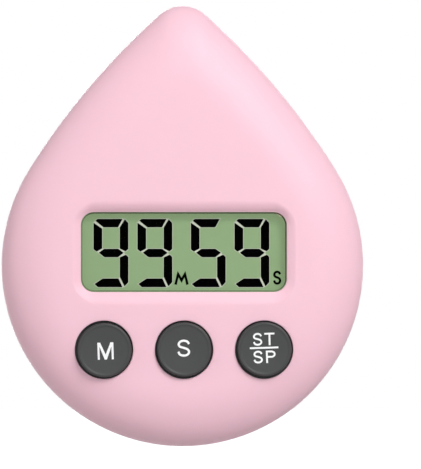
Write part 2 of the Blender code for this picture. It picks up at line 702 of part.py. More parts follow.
def make_board(case, laminate, resin, steel, ceramic):
    """The board, notched round the case's bosses, and what is soldered to its back."""
    rings = [drop(BOARD_INSET, depth) for depth in (BOARD_FRONT, BOARD_BACK)]
    board = piece("main_board", loft("main_board", rings), laminate, case)
    cuts = [
        block(
            "board_top",
            (-BOTTOM_RADIUS, BOTTOM_RADIUS),
            (BOARD_FRONT - PAST, BOARD_BACK + PAST),
            (BOARD_TOP, CASE_HEIGHT),
        )
    ]
    through = (BOARD_FRONT - PAST, BOARD_BACK + PAST)
    holes = [(name, place, BOSS_RADIUS + GAP) for name, place in case_screw_places().items()]
    bore = SCREW_SHANK_RADIUS + SCREW_GAP
    holes += [(name, place, bore) for name, place in board_screw_places().items()]
    for name, (x, z), radius in holes:
        ends = [(radius, depth) for depth in through]
        cuts.append(turned(f"board_hole_{name}", ends, BOSS_STEPS, x=x, z=z))
    shaped(board, "DIFFERENCE", cuts, case)

    start = BOARD_BACK + FILM_GAP
    x, down = CHIP_PLACE
    z = BOARD_TOP - down
    profile = [(CHIP_RADIUS, start)]
    for degrees in (30, 55, 75):
        angle = math.radians(degrees)
        profile.append((CHIP_RADIUS * math.cos(angle), start + CHIP_HEIGHT * math.sin(angle)))
    piece("timer_chip", turned("timer_chip", profile, BOSS_STEPS, x=x, z=z), resin, case)

    x, down = CRYSTAL_PLACE
    ends = [(CRYSTAL_RADIUS, -CRYSTAL_LENGTH / 2), (CRYSTAL_RADIUS, CRYSTAL_LENGTH / 2)]
    place = (x, start + CRYSTAL_RADIUS, BOARD_TOP - down)
    crystal = piece("quartz_crystal", turned("quartz_crystal", ends, SCREW_STEPS), steel, case, place)
    crystal.rotation_euler = (0.0, 0.0, math.pi / 2)

    chips = (
        ("board_capacitor", CAPACITOR_SIZE, CAPACITOR_PLACE),
        ("board_resistor", RESISTOR_SIZE, RESISTOR_PLACE),
    )
    for name, (width, height, length), (x, down) in chips:
        z = BOARD_TOP - down
        mesh = block(
            name,
            (x - width / 2, x + width / 2),
            (start, start + height),
            (z - length / 2, z + length / 2),
        )
        piece(name, mesh, ceramic, case)


def screw_mesh(name, length, case):
    """A pan-head screw with a cross recess. Its head's underside is at zero depth."""
    profile = [
        (SCREW_TIP_RADIUS, -length),
        (SCREW_SHANK_RADIUS, -length + SCREW_SHANK_RADIUS),
        (SCREW_SHANK_RADIUS, 0.0),
        (SCREW_HEAD_RADIUS, 0.0),
        (SCREW_HEAD_RADIUS, SCREW_HEAD_SIDE),
        (SCREW_HEAD_TOP_RADIUS, SCREW_HEAD_HEIGHT),
    ]
    screw = piece(name, turned(name, profile, SCREW_STEPS), None, case)
    half = SCREW_CROSS_LENGTH / 2
    thin = SCREW_CROSS_WIDTH / 2
    depth = (SCREW_HEAD_HEIGHT - SCREW_CROSS_DEPTH, SCREW_HEAD_HEIGHT + PAST)
    cross = [
        block(f"{name}_cross_x", (-half, half), depth, (-thin, thin)),
        block(f"{name}_cross_z", (-thin, thin), depth, (-half, half)),
    ]
    shaped(screw, "DIFFERENCE", cross, case)
    mesh = baked(screw)
    bpy.data.objects.remove(screw)
    return mesh


def make_screws(case, steel):
    """Six screws through the rear shell and four through the board."""
    mesh = screw_mesh("case_screw", CASE_SCREW_LENGTH, case)
    for name, (x, z) in case_screw_places().items():
        piece(name, mesh, steel, case, (x, CASE_SCREW_SEAT + FILM_GAP, z))
    mesh = screw_mesh("board_screw", BOARD_SCREW_LENGTH, case)
    for name, (x, z) in board_screw_places().items():
        piece(name, mesh, steel, case, (x, BOARD_BACK + FILM_GAP, z))


def lead(name, start, middle, end, material, case):
    """A thin wire along a smooth curve through three points."""
    curve = bpy.data.curves.new(name, "CURVE")
    curve.dimensions = "3D"
    curve.bevel_depth = LEAD_RADIUS
    curve.bevel_resolution = 1
    curve.use_fill_caps = True
    spline = curve.splines.new("POLY")
    spline.points.add(LEAD_STEPS - 1)
    start, middle, end = (np.array(point) for point in (start, middle, end))
    for step in range(LEAD_STEPS):
        t = step / (LEAD_STEPS - 1)
        point = (1 - t) ** 2 * start + 2 * t * (1 - t) * middle + t**2 * end
        spline.points[step].co = (*point, 1.0)
    curve.materials.append(material)
    obj = bpy.data.objects.new(name, curve)
    bpy.context.scene.collection.objects.link(obj)
    obj.parent = case


def make_buzzer(case, brass, ceramic, red, black):
    """The sounder: a brass disc on its ring, a ceramic wafer and two wires to the board."""
    disc = [(BUZZER_RADIUS, BUZZER_FRONT), (BUZZER_RADIUS, BUZZER_FRONT + BUZZER_THICKNESS)]
    wafer = [(CERAMIC_RADIUS, CERAMIC_FRONT), (CERAMIC_RADIUS, CERAMIC_BACK)]
    piece("buzzer_disc", turned("buzzer_disc", disc, BUTTON_STEPS, z=BUZZER_Z), brass, case)
    wafer_mesh = turned("buzzer_ceramic", wafer, BUTTON_STEPS, z=BUZZER_Z)
    piece("buzzer_ceramic", wafer_mesh, ceramic, case)
    reach = LEAD_RADIUS + GAP
    arrival = BOARD_FRONT - reach
    pad_z = BUZZER_Z - LEAD_DROP
    lead(
        "buzzer_lead_red",
        (RED_LEAD_X, CERAMIC_BACK + reach, BUZZER_Z),
        (RED_LEAD_X, arrival, BUZZER_Z),
        (RED_LEAD_X, arrival, pad_z),
        red,
        case,
    )
    lead(
        "buzzer_lead_black",
        (BLACK_LEAD_X, BUZZER_FRONT + BUZZER_THICKNESS + reach, BUZZER_Z),
        (BLACK_LEAD_X, arrival, BUZZER_Z),
        (BLACK_PAD_X, arrival, pad_z),
        black,
        case,
    )


def make_rear_shell(case, plastic):
    """The rear casing: the seal groove, screw tubes, battery well and keyhole pocket."""
    groove_outer = GROOVE_LAND
    groove_inner = GROOVE_LAND + SEAL_WIDTH + 2 * SEAL_GAP
    groove_floor = RIM_DEPTH + SEAL_DEPTH + GAP
    corner = SIDE_WALL + INNER_FILLET
    inside = [
        drop(corner, BACK_INSIDE),
        drop(SIDE_WALL, BACK_INSIDE - INNER_FILLET),
        drop(SIDE_WALL, RIM_DEPTH),
        drop(groove_inner, RIM_DEPTH),
        drop(groove_inner, groove_floor),
        drop(groove_outer, groove_floor),
        drop(groove_outer, RIM_DEPTH),
    ]
    outside = [drop(0.0, RIM_DEPTH)]
    for degrees in (0, 30, 60, 90):
        angle = math.radians(degrees)
        inset = BACK_FILLET * (1 - math.cos(angle))
        outside.append(drop(inset, CASE_DEPTH - BACK_FILLET * (1 - math.sin(angle))))
    shell = piece("rear_shell", loft("rear_shell", inside + outside), plastic, case)

    root = BACK_INSIDE + ROOT
    ribs = []
    for name, (x, z) in case_screw_places().items():
        ends = [(BOSS_RADIUS, RIM_DEPTH), (BOSS_RADIUS, root)]
        ribs.append(turned(f"rear_tube_{name}", ends, BOSS_STEPS, x=x, z=z))
    well = DOOR_CORE_RADIUS + THREAD_HEIGHT + THREAD_GAP + WELL_WALL
    collar = DOOR_RADIUS + GAP + WELL_WALL
    shoulder = THREAD_TOP - WELL_WALL
    profile = [(well, FLOOR_FRONT), (well, shoulder), (collar, shoulder), (collar, root)]
    ribs.append(turned("rear_well", profile, DOOR_STEPS, z=DOOR_Z))
    ribs.append(pocket("rear_pocket", POCKET_WALL, POCKET_FLOOR - POCKET_WALL, root))
    shaped(shell, "UNION", ribs, case)

    cuts = [well_cut(), pocket("rear_pocket_hollow", 0.0, POCKET_FLOOR, BACK_INSIDE)]
    cuts += keyhole_cuts()
    cuts += contact_slots()
    counterbore = COUNTERBORE_RADIUS
    bore = SCREW_SHANK_RADIUS + SCREW_GAP
    for name, (x, z) in case_screw_places().items():
        profile = [
            (bore, RIM_DEPTH - PAST),
            (bore, CASE_SCREW_SEAT),
            (counterbore, CASE_SCREW_SEAT),
            (counterbore, CASE_DEPTH + PAST),
        ]
        cuts.append(turned(f"rear_bore_{name}", profile, SCREW_STEPS, x=x, z=z))
    shaped(shell, "DIFFERENCE", cuts, case)


def well_cut():
    """The battery well's cutter: chamber, thread, seal seat and flange recess in one."""
    seat = DOOR_CORE_RADIUS + 2 * GAP + RING_SECTION + SEAL_GAP
    recess_floor = FLANGE_BACK - GAP
    rings = [
        circle(WELL_RADIUS, FLOOR_BACK, DOOR_STEPS),
        circle(WELL_RADIUS, DOOR_FRONT - GAP, DOOR_STEPS),
    ]
    rings += thread(DOOR_CORE_RADIUS + THREAD_GAP, DOOR_FRONT - GAP, THREAD_TOP)
    rings += [
        circle(seat, THREAD_TOP, DOOR_STEPS),
        circle(seat, recess_floor, DOOR_STEPS),
        circle(DOOR_RADIUS + GAP, recess_floor, DOOR_STEPS),
        circle(DOOR_RADIUS + GAP, CASE_DEPTH + PAST, DOOR_STEPS),
    ]
    return loft("rear_well_hollow", [ring + np.array((0.0, 0.0, DOOR_Z)) for ring in rings])


def pocket(name, margin, front, back):
    """A block with round ends that holds the knob at both ends of its travel."""
    reach = KNOB_RADIUS + KNOB_ROOM + margin
    height = LIFT_TRAVEL + 2 * reach
    middle = KNOB_Z - LIFT_TRAVEL / 2
    corner = reach * ROUND_END
    rings = [
        rectangle(2 * reach, height, corner, depth, middle, ROUND_END_STEPS)
        for depth in (front, back)
    ]
    return loft(name, rings)


def keyhole_cuts():
    """The keyhole through the back wall: a round entry below a slot for the knob's neck."""
    through = (BACK_INSIDE - PAST, CASE_DEPTH + PAST)
    entry = KNOB_RADIUS + KNOB_ROOM
    slot = NECK_RADIUS + GAP
    entry_z = KNOB_Z - LIFT_TRAVEL
    round_entry = turned("keyhole_entry", [(entry, d) for d in through], BUTTON_STEPS, z=entry_z)
    height = LIFT_TRAVEL + 2 * slot
    middle = KNOB_Z - LIFT_TRAVEL / 2
    narrow = [
        rectangle(2 * slot, height, slot * ROUND_END, depth, middle, ROUND_END_STEPS)
        for depth in through
    ]
    return [round_entry, loft("keyhole_slot", narrow)]


def leaf_limits():
    """The negative leaf's span along Z: from the cell's middle down to its tail."""
    return (DOOR_Z - LEAF_REACH, DOOR_Z)


def clip_start():
    """The positive clip's inner face, along X."""
    return CELL_RADIUS + GAP


def contact_slots():
    """Two slots in the battery well's floor, for the contacts' tails."""
    depth = (FLOOR_FRONT - PAST, FLOOR_BACK + PAST)
    tail = leaf_limits()[0]
    inner = clip_start()
    leaf = block(
        "slot_negative",
        (-LEAF_WIDTH / 2 - GAP, LEAF_WIDTH / 2 + GAP),
        depth,
        (tail - GAP, tail + CONTACT_THICKNESS + GAP),
    )
    clip = block(
        "slot_positive",
        (inner - GAP, inner + CONTACT_THICKNESS + GAP),
        depth,
        (DOOR_Z - CLIP_WIDTH / 2 - GAP, DOOR_Z + CLIP_WIDTH / 2 + GAP),
    )
    return [leaf, clip]


def make_battery(case, steel, nickel):
    """The coin cell, the leaf under it and the clip at its side."""
    cap = CELL_RADIUS - CELL_CAP_INSET
    profile = [
        (cap, CELL_FRONT),
        (cap + CELL_CRIMP, CELL_FRONT + CELL_CRIMP),
        (CELL_RADIUS - CELL_CRIMP, CELL_FRONT + CELL_CRIMP),
        (CELL_RADIUS, CELL_FRONT + 2 * CELL_CRIMP),
        (CELL_RADIUS, CELL_BACK - CELL_CRIMP / 2),
        (CELL_RADIUS - CELL_CRIMP / 2, CELL_BACK),
    ]
    piece("coin_cell", turned("coin_cell", profile, BUTTON_STEPS, z=DOOR_Z), steel, case)

    tail, tip = leaf_limits()
    start = BOARD_BACK + SEAL_GAP
    outline = [
        (start, tail),
        (start, tail + CONTACT_THICKNESS),
        (LEAF_FRONT, tail + CONTACT_THICKNESS),
        (LEAF_FRONT, tip),
        (LEAF_FRONT + CONTACT_THICKNESS, tip),
        (LEAF_FRONT + CONTACT_THICKNESS, tail),
    ]
    sides = (-LEAF_WIDTH / 2, LEAF_WIDTH / 2)
    rings = [np.array([(x, depth, z) for depth, z in outline]) for x in sides]
    name = "battery_contact_negative"
    piece(name, loft(name, rings), nickel, case)

    inner = clip_start()
    name = "battery_contact_positive"
    mesh = block(
        name,
        (inner, inner + CONTACT_THICKNESS),
        (start, CELL_BACK - GAP),
        (DOOR_Z - CLIP_WIDTH / 2, DOOR_Z + CLIP_WIDTH / 2),
    )
    piece(name, mesh, nickel, case)


def make_door(case, plastic, rubber):
    """The round battery door with its thread and coin slot, and its seal ring."""
    rings = [
        circle(DOOR_RADIUS - DOOR_BEVEL, CASE_DEPTH, DOOR_STEPS),
        circle(DOOR_RADIUS, CASE_DEPTH - DOOR_BEVEL, DOOR_STEPS),
        circle(DOOR_RADIUS, FLANGE_BACK, DOOR_STEPS),
        circle(DOOR_CORE_RADIUS, FLANGE_BACK, DOOR_STEPS),
        circle(DOOR_CORE_RADIUS, THREAD_TOP + FILM_GAP, DOOR_STEPS),
    ]
    rings += thread(DOOR_CORE_RADIUS, THREAD_TOP, DOOR_FRONT)
    rings += [
        circle(DOOR_HOLLOW_RADIUS, DOOR_FRONT, DOOR_STEPS),
        circle(DOOR_HOLLOW_RADIUS, CASE_DEPTH - DOOR_SKIN, DOOR_STEPS),
    ]
    door = piece("battery_door", loft("battery_door", rings), plastic, case, (0.0, 0.0, DOOR_Z))
    slot = [
        rectangle(COIN_SLOT_LENGTH, COIN_SLOT_WIDTH, COIN_SLOT_CORNER, depth, DOOR_Z)
        for depth in (CASE_DEPTH - COIN_SLOT_DEPTH, CASE_DEPTH + PAST)
    ]
    shaped(door, "DIFFERENCE", [loft("coin_slot", slot)], case)

    inner = DOOR_CORE_RADIUS + GAP
    middle = (THREAD_TOP + FLANGE_BACK) / 2
    half = RING_SECTION / 2
    section = []
    for degrees in range(0, 360, 60):
        angle = math.radians(degrees)
        section.append((inner + half * (1 + math.cos(angle)), middle + half * math.sin(angle)))
    seal = turned("door_seal", section, BUTTON_STEPS, closed=True)
    piece("door_seal", seal, rubber, case, (0.0, 0.0, DOOR_Z))


def make_case_seal(case, rubber):
    """The soft ring in the rear shell's groove."""
    inset = GROOVE_LAND + SEAL_GAP
    front = SEAM_DEPTH + SEAL_GAP
    back = front + SEAL_DEPTH
    section = [
        (inset, front),
        (inset + SEAL_WIDTH, front),
        (inset + SEAL_WIDTH, back),
        (inset, back),
    ]
    rings = [drop(margin, depth) for margin, depth in section]
    piece("case_seal", loft("case_seal", rings, closed=True), rubber, case)


def make_suction_cup(vinyl):
    """The cup, its stem and the mushroom knob, turned about the Y axis."""
    profile = []
    inner_radius = CUP_RADIUS - CUP_RIM_WIDTH
    for step in range(CUP_CURVE_STEPS - 1, -1, -1):
        along = step / CUP_CURVE_STEPS
        radius = inner_radius * math.sin(math.pi / 2 * (1 - along))
        profile.append((radius, -CUP_HOLLOW * along**CUP_HOLLOW_POWER))
    profile += [(CUP_RADIUS, 0.0), (CUP_RADIUS, -CUP_RIM_THICKNESS)]
    for step in range(1, CUP_CURVE_STEPS + 1):
        along = step / CUP_CURVE_STEPS
        radius = CUP_RADIUS + (CUP_STEM_RADIUS - CUP_RADIUS) * along
        rise = (CUP_DOME_HEIGHT - CUP_RIM_THICKNESS) * along**CUP_DOME_POWER
        profile.append((radius, -CUP_RIM_THICKNESS - rise))
    knob_back = -(CUP_STANDOFF + BACK_WALL + GAP)
    knob_front = knob_back - KNOB_THICKNESS
    profile += [
        (CUP_STEM_RADIUS, -CUP_STANDOFF + GAP),
        (NECK_RADIUS, -CUP_STANDOFF + GAP),
        (NECK_RADIUS, knob_back),
        (KNOB_RADIUS, knob_back),
        (KNOB_RADIUS, knob_front + KNOB_BEVEL),
        (KNOB_RADIUS - KNOB_BEVEL, knob_front),
    ]
    piece("suction_cup", turned("suction_cup", profile, CUP_STEPS), vinyl, None)


def main():
    """Builds every piece of the timer."""
    clear_scene()
    pink = finish("pink_abs", 250, 207, 219, 0.42)
    grey = finish("grey_abs", 88, 90, 89, 0.45)
    white = finish("white_abs", 232, 232, 228, 0.5)
    clear = finish("clear_acrylic", 245, 248, 246, 0.05, transmission=1.0)
    adhesive = finish("black_adhesive", 26, 26, 27, 0.8)
    glass = finish("display_glass", 146, 169, 125, 0.25)
    film = finish("polariser_film", 150, 160, 140, 0.3)
    silver = finish("silver_film", 196, 200, 200, 0.35, metallic=0.6)
    zebra = finish("zebra_rubber", 58, 58, 60, 0.7)
    silicone = finish("translucent_silicone", 214, 214, 208, 0.6)
    laminate = finish("green_board", 34, 92, 56, 0.45)
    resin = finish("black_resin", 18, 18, 20, 0.35)
    steel = finish("zinc_steel", 176, 178, 180, 0.35, metallic=1.0)
    nickel = finish("nickel_plate", 204, 200, 190, 0.25, metallic=1.0)
    ceramic = finish("ceramic", 216, 206, 184, 0.5)
    brass = finish("brass_plate", 196, 160, 90, 0.3, metallic=1.0)
    red = finish("red_wire", 178, 38, 34, 0.5)
    black = finish("black_wire", 24, 24, 26, 0.5)
    rubber = finish("seal_rubber", 44, 44, 46, 0.7)
    vinyl = finish("clear_vinyl", 214, 222, 224, 0.2, transmission=0.6)

    case = bpy.data.objects.new("case_frame", None)
    bpy.context.scene.collection.objects.link(case)
    case.location = (0.0, -(CUP_STANDOFF + CASE_DEPTH), -KNOB_Z)

    make_front_shell(case, pink)
    make_window(case, clear, adhesive)
    make_display(case, glass, film, silver, white, zebra)
    make_buttons(case, grey)
    make_keypad(case, silicone)
    make_board(case, laminate, resin, nickel, ceramic)
    make_buzzer(case, brass, ceramic, red, black)
    make_rear_shell(case, pink)
    make_battery(case, nickel, nickel)
    make_door(case, pink, rubber)
    make_case_seal(case, rubber)
    make_screws(case, steel)
    make_suction_cup(vinyl)


main()
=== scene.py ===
"""The looks of a drop-shaped shower timer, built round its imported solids.

Sizes are in millimetres and become metres where a mesh is made. A place on the case is given as
(across, depth, height): depth is counted back from the case's front face, and height up from its
foot. The camera, the floor and the lights come last.
"""

import json
import logging
import math
from collections.abc import Callable
from dataclasses import dataclass, field
from enum import Enum

import bmesh
import bpy
import numpy as np
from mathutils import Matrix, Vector
from numpy.typing import NDArray

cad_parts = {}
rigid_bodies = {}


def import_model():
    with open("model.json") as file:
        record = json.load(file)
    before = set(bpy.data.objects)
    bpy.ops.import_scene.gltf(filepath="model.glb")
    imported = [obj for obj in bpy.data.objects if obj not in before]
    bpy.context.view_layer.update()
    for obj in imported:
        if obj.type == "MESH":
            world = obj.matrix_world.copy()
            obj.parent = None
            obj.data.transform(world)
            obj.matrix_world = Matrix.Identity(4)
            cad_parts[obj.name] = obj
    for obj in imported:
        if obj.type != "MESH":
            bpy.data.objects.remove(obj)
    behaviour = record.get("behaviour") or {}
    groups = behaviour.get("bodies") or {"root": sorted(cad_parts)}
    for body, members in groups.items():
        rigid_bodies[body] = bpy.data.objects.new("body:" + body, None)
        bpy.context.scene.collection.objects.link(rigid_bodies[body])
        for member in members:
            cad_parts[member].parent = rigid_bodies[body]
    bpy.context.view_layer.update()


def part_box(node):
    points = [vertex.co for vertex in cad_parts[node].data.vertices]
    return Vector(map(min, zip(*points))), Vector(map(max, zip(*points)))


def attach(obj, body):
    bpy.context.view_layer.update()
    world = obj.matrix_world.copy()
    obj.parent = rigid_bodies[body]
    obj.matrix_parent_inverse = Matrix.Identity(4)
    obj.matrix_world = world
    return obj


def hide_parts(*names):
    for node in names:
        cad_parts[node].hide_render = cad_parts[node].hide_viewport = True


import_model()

CASE_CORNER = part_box("front_shell")[0]
MM = 0.001
FULL_TURN = 2 * math.pi
SHARP = math.radians(32)
LOG = logging.getLogger("shower_timer")

# The window's width, height and corner radius, and how high it and the buttons are on the case.
WINDOW = (39.7, 15.4, 2.5)
WINDOW_HEIGHT = 37.5
BUTTON_HEIGHT = 18.7
BUTTON_PITCH = 15.42

# How far a cutter reaches past what it cuts, how far its flared mouth stands off the surface, and
# how far inside a rounded edge the last ring of a flat face lies.
OVERRUN = 1.0
SKIM = 0.005
TUCK = 0.4

# The corner radius of a box with round ends, as a share of half its width.
ROUND_END = 0.98

Array = NDArray[np.float64]
Surface = Callable[[Array], Array]
Path = Array | list[tuple[float, float]]
Colour = tuple[float, float, float]
Feed = bpy.types.NodeSocket | float | tuple[float, ...]


class Body(Enum):
    """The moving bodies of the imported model."""

    CUP = "cup"
    CASE = "case"
    MINUTES = "minutes_button"
    SECONDS = "seconds_button"
    START_STOP = "start_stop_button"
    DOOR_RING = "door_ring"
    DOOR = "battery_door"


class Slot(Enum):
    """The record's material slots that the new pieces take their finish from."""

    PINK = "pink_abs"
    GREY = "grey_abs"
    WHITE = "white_abs"
    CLEAR = "clear_acrylic"
    GLASS = "display_glass"
    ZINC = "zinc_steel"
    SEAL = "seal_rubber"
    VINYL = "clear_vinyl"


def linear(colour: Colour) -> tuple[float, float, float, float]:
    """A screen colour as linear light: ((c + 0.055) / 1.055) ** 2.4 above the dark end.

    Args:
        colour: Red, green and blue between 0 and 255.

    Returns:
        The linear colour with an alpha of 1.
    """
    values = [channel / 255 for channel in colour]
    curve = [((c + 0.055) / 1.055) ** 2.4 if c > 0.04045 else c / 12.92 for c in values]
    return (*curve, 1.0)


# Shapes


def placed(across: Array, depth: Array | float, height: Array) -> Array:
    """Points in the model's frame, in metres, from places on the case in millimetres.

    Args:
        across: To the right of the middle.
        depth: Back from the front face.
        height: Up from the foot.

    Returns:
        The points, with one more dimension for x, y and z.
    """
    across, depth, height = np.broadcast_arrays(across, depth, height)
    points = np.stack((across, depth, height), axis=-1) * MM
    return points + np.array((0.0, CASE_CORNER.y, CASE_CORNER.z))


def at_depth(ring: Array, depth: Array | float) -> Array:
    """A ring of (across, height) points with its depth put between them, as n x 3."""
    return np.insert(ring, 1, depth, axis=1)


def around(steps: int) -> Array:
    """Angles once round an axis, without the last, which is the first again."""
    return np.arange(steps) * (FULL_TURN / steps)


def bend(
    start: tuple[float, float],
    end: tuple[float, float],
    steps: int,
    power: float = 2.0,
) -> Array:
    """A quarter of a rounded ellipse that sets off along the first coordinate.

    With t from 0 to a right angle and q = 2 / power it is
    start + (end - start) * (sin(t) ** q, 1 - cos(t) ** q).

    Args:
        start: Where it starts.
        end: Where it ends, at a right angle to its start.
        steps: How many points.
        power: 2 for an ellipse, and more for a squarer bend.

    Returns:
        The points as n x 2.
    """
    t = np.linspace(0, math.pi / 2, steps)
    share = np.column_stack((np.sin(t) ** (2 / power), 1 - np.cos(t) ** (2 / power)))
    return np.array(start) + (np.array(end) - np.array(start)) * share


def grid_mesh(name: str, grid: Array, closed: bool = False) -> bpy.types.Mesh:
    """A mesh over rows of points, where each row is a closed ring.

    Args:
        name: The mesh's name.
        grid: Points as rows x columns x 3.
        closed: Whether the last row joins the first, as on a torus. If not, both ends get a flat
            face.

    Returns:
        A smooth mesh with its faces pointing out.
    """
    rows, columns = grid.shape[:2]
    index = np.arange(rows * columns).reshape(rows, columns)
    after = np.roll(index, -1, axis=0) if closed else index[1:]
    before = index if closed else index[:-1]
    quads = np.stack(
        (before, np.roll(before, -1, axis=1), np.roll(after, -1, axis=1), after), axis=-1
    )
    faces = quads.reshape(-1, 4).tolist()
    if not closed:
        faces += [index[0].tolist(), index[-1].tolist()]
    mesh = bpy.data.meshes.new(name)
    mesh.from_pydata(grid.reshape(-1, 3).tolist(), [], faces)
    shape = bmesh.new()
    shape.from_mesh(mesh)
    bmesh.ops.recalc_face_normals(shape, faces=shape.faces)
    shape.to_mesh(mesh)
    shape.free()
    smooth(mesh)
    return mesh


def smooth(mesh: bpy.types.Mesh) -> None:
    """Shades a mesh smooth, with sharp edges where its faces turn by more than the sharp angle."""
    mesh.shade_smooth()
    mesh.set_sharp_from_angle(angle=SHARP)


def softened(corners: list[tuple[float, float, float]], steps: int = 6) -> Array:
    """A polyline with rounded corners.

    Each corner P with a radius r becomes the curve (1-s)^2 A + 2s(1-s) P + s^2 B, where A and B
    lie on its two edges at the distance at which a circle of radius r touches them, and at most
    just under half of the shorter edge.

    Args:
        corners: (first coordinate, second coordinate, radius) of each corner.
        steps: Points along each rounded corner.

    Returns:
        The points as n x 2.
    """
    points = np.array([corner[:2] for corner in corners])
    radii = np.array([corner[2] for corner in corners])
    line = [points[:1]]
    s = np.linspace(0.0, 1.0, steps)[:, None]
    for before, corner, after, radius in zip(points[:-2], points[1:-1], points[2:], radii[1:-1]):
        if radius <= 0:
            line.append(corner[None])
            continue
        back, ahead = before - corner, after - corner
        lengths = np.linalg.norm(back), np.linalg.norm(ahead)
        back, ahead = back / lengths[0], ahead / lengths[1]
        half = math.acos(float(np.clip(back @ ahead, -1, 1))) / 2
        reach = min(radius / math.tan(half), 0.49 * min(lengths))
        start, end = corner + back * reach, corner + ahead * reach
        line.append((1 - s) ** 2 * start + 2 * s * (1 - s) * corner + s**2 * end)
    line.append(points[-1:])
    return np.vstack(line)


def turned(profile: Path, steps: int, across: float = 0.0, height: float = 0.0) -> Array:
    """A grid turned about an axis that runs front to back.

    A point (r, d) of the profile becomes (across + r sin t, d, height + r cos t).

    Args:
        profile: (radius, depth) points as n x 2.
        steps: Points round the axis.
        across: The axis's place across the case.
        height: The axis's height.

    Returns:
        The grid in metres, as n x steps x 3.
    """
    turn = around(steps)
    radius, depth = np.hsplit(np.array(profile), 2)
    return placed(across + radius * np.sin(turn), depth, height + radius * np.cos(turn))


def rounded_box(width: float, tall: float, corner: float, steps: int) -> Array:
    """A ring round a rectangle with round corners, about the origin.

    Args:
        width: The full width.
        tall: The full height.
        corner: The corners' radius.
        steps: Points along each corner.

    Returns:
        The ring as n x 2, clockwise from the top.
    """
    half = np.array((width, tall)) / 2 - corner
    rings = []
    for turn in range(4):
        angle = np.linspace(0, math.pi / 2, steps) + turn * math.pi / 2
        circle = np.column_stack((np.sin(angle), np.cos(angle)))
        rings.append(np.sign(circle[steps // 2]) * half + corner * circle)
    return np.vstack(rings)


def box_distance(points: Array, width: float, tall: float, corner: float) -> Array:
    """How far points lie outside a rectangle with round corners: |max(|p| - h, 0)| - r.

    Args:
        points: Places about the rectangle's middle, as ... x 2.
        width: The full width.
        tall: The full height.
        corner: The corners' radius.

    Returns:
        The distances, below zero inside.
    """
    beyond = np.abs(points) - (np.array((width, tall)) / 2 - corner)
    outside = np.linalg.norm(np.maximum(beyond, 0), axis=-1)
    return outside + np.minimum(beyond.max(axis=-1), 0) - corner


def plate(outline: Array, front: Array | float, back: Array | float) -> Array:
    """A thin plate's grid from its outline: two rings, one at each depth.

    Args:
        outline: (across, height) points as n x 2.
        front: The front's depth, for all points or for each.
        back: The back's depth, likewise.

    Returns:
        The grid in metres, as 2 x n x 3.
    """
    return np.stack([placed(outline[:, 0], depth, outline[:, 1]) for depth in (front, back)])


def stepped(
    levels: list[tuple[float, float, float, float]],
    steps: int,
    across: float = 0.0,
    height: float = 0.0,
) -> Array:
    """A grid of rings round rectangles with round corners, one behind the other.

    Args:
        levels: (width, height, corner radius, depth) of each ring.
        steps: Points along each corner.
        across: The middle's place across the case.
        height: The middle's height.

    Returns:
        The grid in metres, as rings x points x 3.
    """
    rings = []
    for width, tall, corner, depth in levels:
        ring = rounded_box(width, tall, corner, steps) + (across, height)
        rings.append(placed(ring[:, 0], depth, ring[:, 1]))
    return np.stack(rings)


def ribbon(path: Array, width: float, sharpest: float = 0.4) -> Array:
    """The two edges of a stroke of one width along a path, with mitred corners.

    Each point moves along the mean normal n by width / 2 / cos(half the corner's turn).

    Args:
        path: (across, height) points as n x 2.
        width: The stroke's width.
        sharpest: The least cosine that is divided by, which blunts a sharp corner.

    Returns:
        The edges as n x 2 x 2: point, side, coordinate.
    """
    steps = np.diff(path, axis=0)
    steps /= np.linalg.norm(steps, axis=1, keepdims=True)
    before = np.vstack((steps[:1], steps))
    after = np.vstack((steps, steps[-1:]))
    mean = before + after
    mean /= np.linalg.norm(mean, axis=1, keepdims=True)
    reach = width / 2 / np.maximum((mean * before).sum(axis=1), sharpest)
    normal = np.column_stack((-mean[:, 1], mean[:, 0])) * reach[:, None]
    return np.stack((path + normal, path - normal), axis=1)


def flowing(points: list[tuple[float, float]], steps: int = 5) -> Array:
    """A smooth curve through points, by Catmull-Rom cubics.

    Args:
        points: The points that it passes.
        steps: Points along each stretch.

    Returns:
        The curve as n x 2.
    """
    knots = np.array(points)
    knots = np.vstack((2 * knots[0] - knots[1], knots, 2 * knots[-1] - knots[-2]))
    t = np.linspace(0, 1, steps, endpoint=False)[None, :, None]
    a, b, c, d = (knots[k : len(knots) - 3 + k, None] for k in range(4))
    curve = 0.5 * (
        2 * b + (c - a) * t + (2 * a - 5 * b + 4 * c - d) * t**2 + (3 * b - a - 3 * c + d) * t**3
    )
    return np.vstack((curve.reshape(-1, 2), knots[-2:-1]))


def stroke(path: Array, width: float) -> Array:
    """The outline of a stroke along a path: one edge of its ribbon, and back along the other."""
    edges = ribbon(path, width)
    return np.vstack((edges[:, 0], edges[::-1, 1]))


def inlaid(
    outline: Array,
    surface: Surface,
    rise: float,
    sink: float,
    step: float = 0.3,
) -> bpy.types.Mesh:
    """A thin flat shape laid on a curved surface, with its outline cut into short steps.

    Args:
        outline: (across, height) points as n x 2.
        surface: Gives the surface's depth at such points.
        rise: How far the shape stands out of the surface.
        sink: How far it reaches into it.
        step: How long a step of the outline is, about.

    Returns:
        The mesh.
    """
    parts = []
    for start, end in zip(outline, np.roll(outline, -1, axis=0)):
        count = max(int(np.linalg.norm(end - start) / step), 1)
        parts.append(start + (end - start) * np.linspace(0, 1, count, endpoint=False)[:, None])
    fine = np.vstack(parts)
    level = surface(fine)
    return grid_mesh("mark", plate(fine, level - rise, level + sink))


def joined(name: str, meshes: list[bpy.types.Mesh]) -> bpy.types.Mesh:
    """One mesh from several that don't touch.

    Args:
        name: The new mesh's name.
        meshes: The meshes to join, which are removed.

    Returns:
        The joined mesh.
    """
    shape = bmesh.new()
    for mesh in meshes:
        shape.from_mesh(mesh)
    result = bpy.data.meshes.new(name)
    shape.to_mesh(result)
    shape.free()
    for mesh in meshes:
        bpy.data.meshes.remove(mesh)
    smooth(result)
    return result


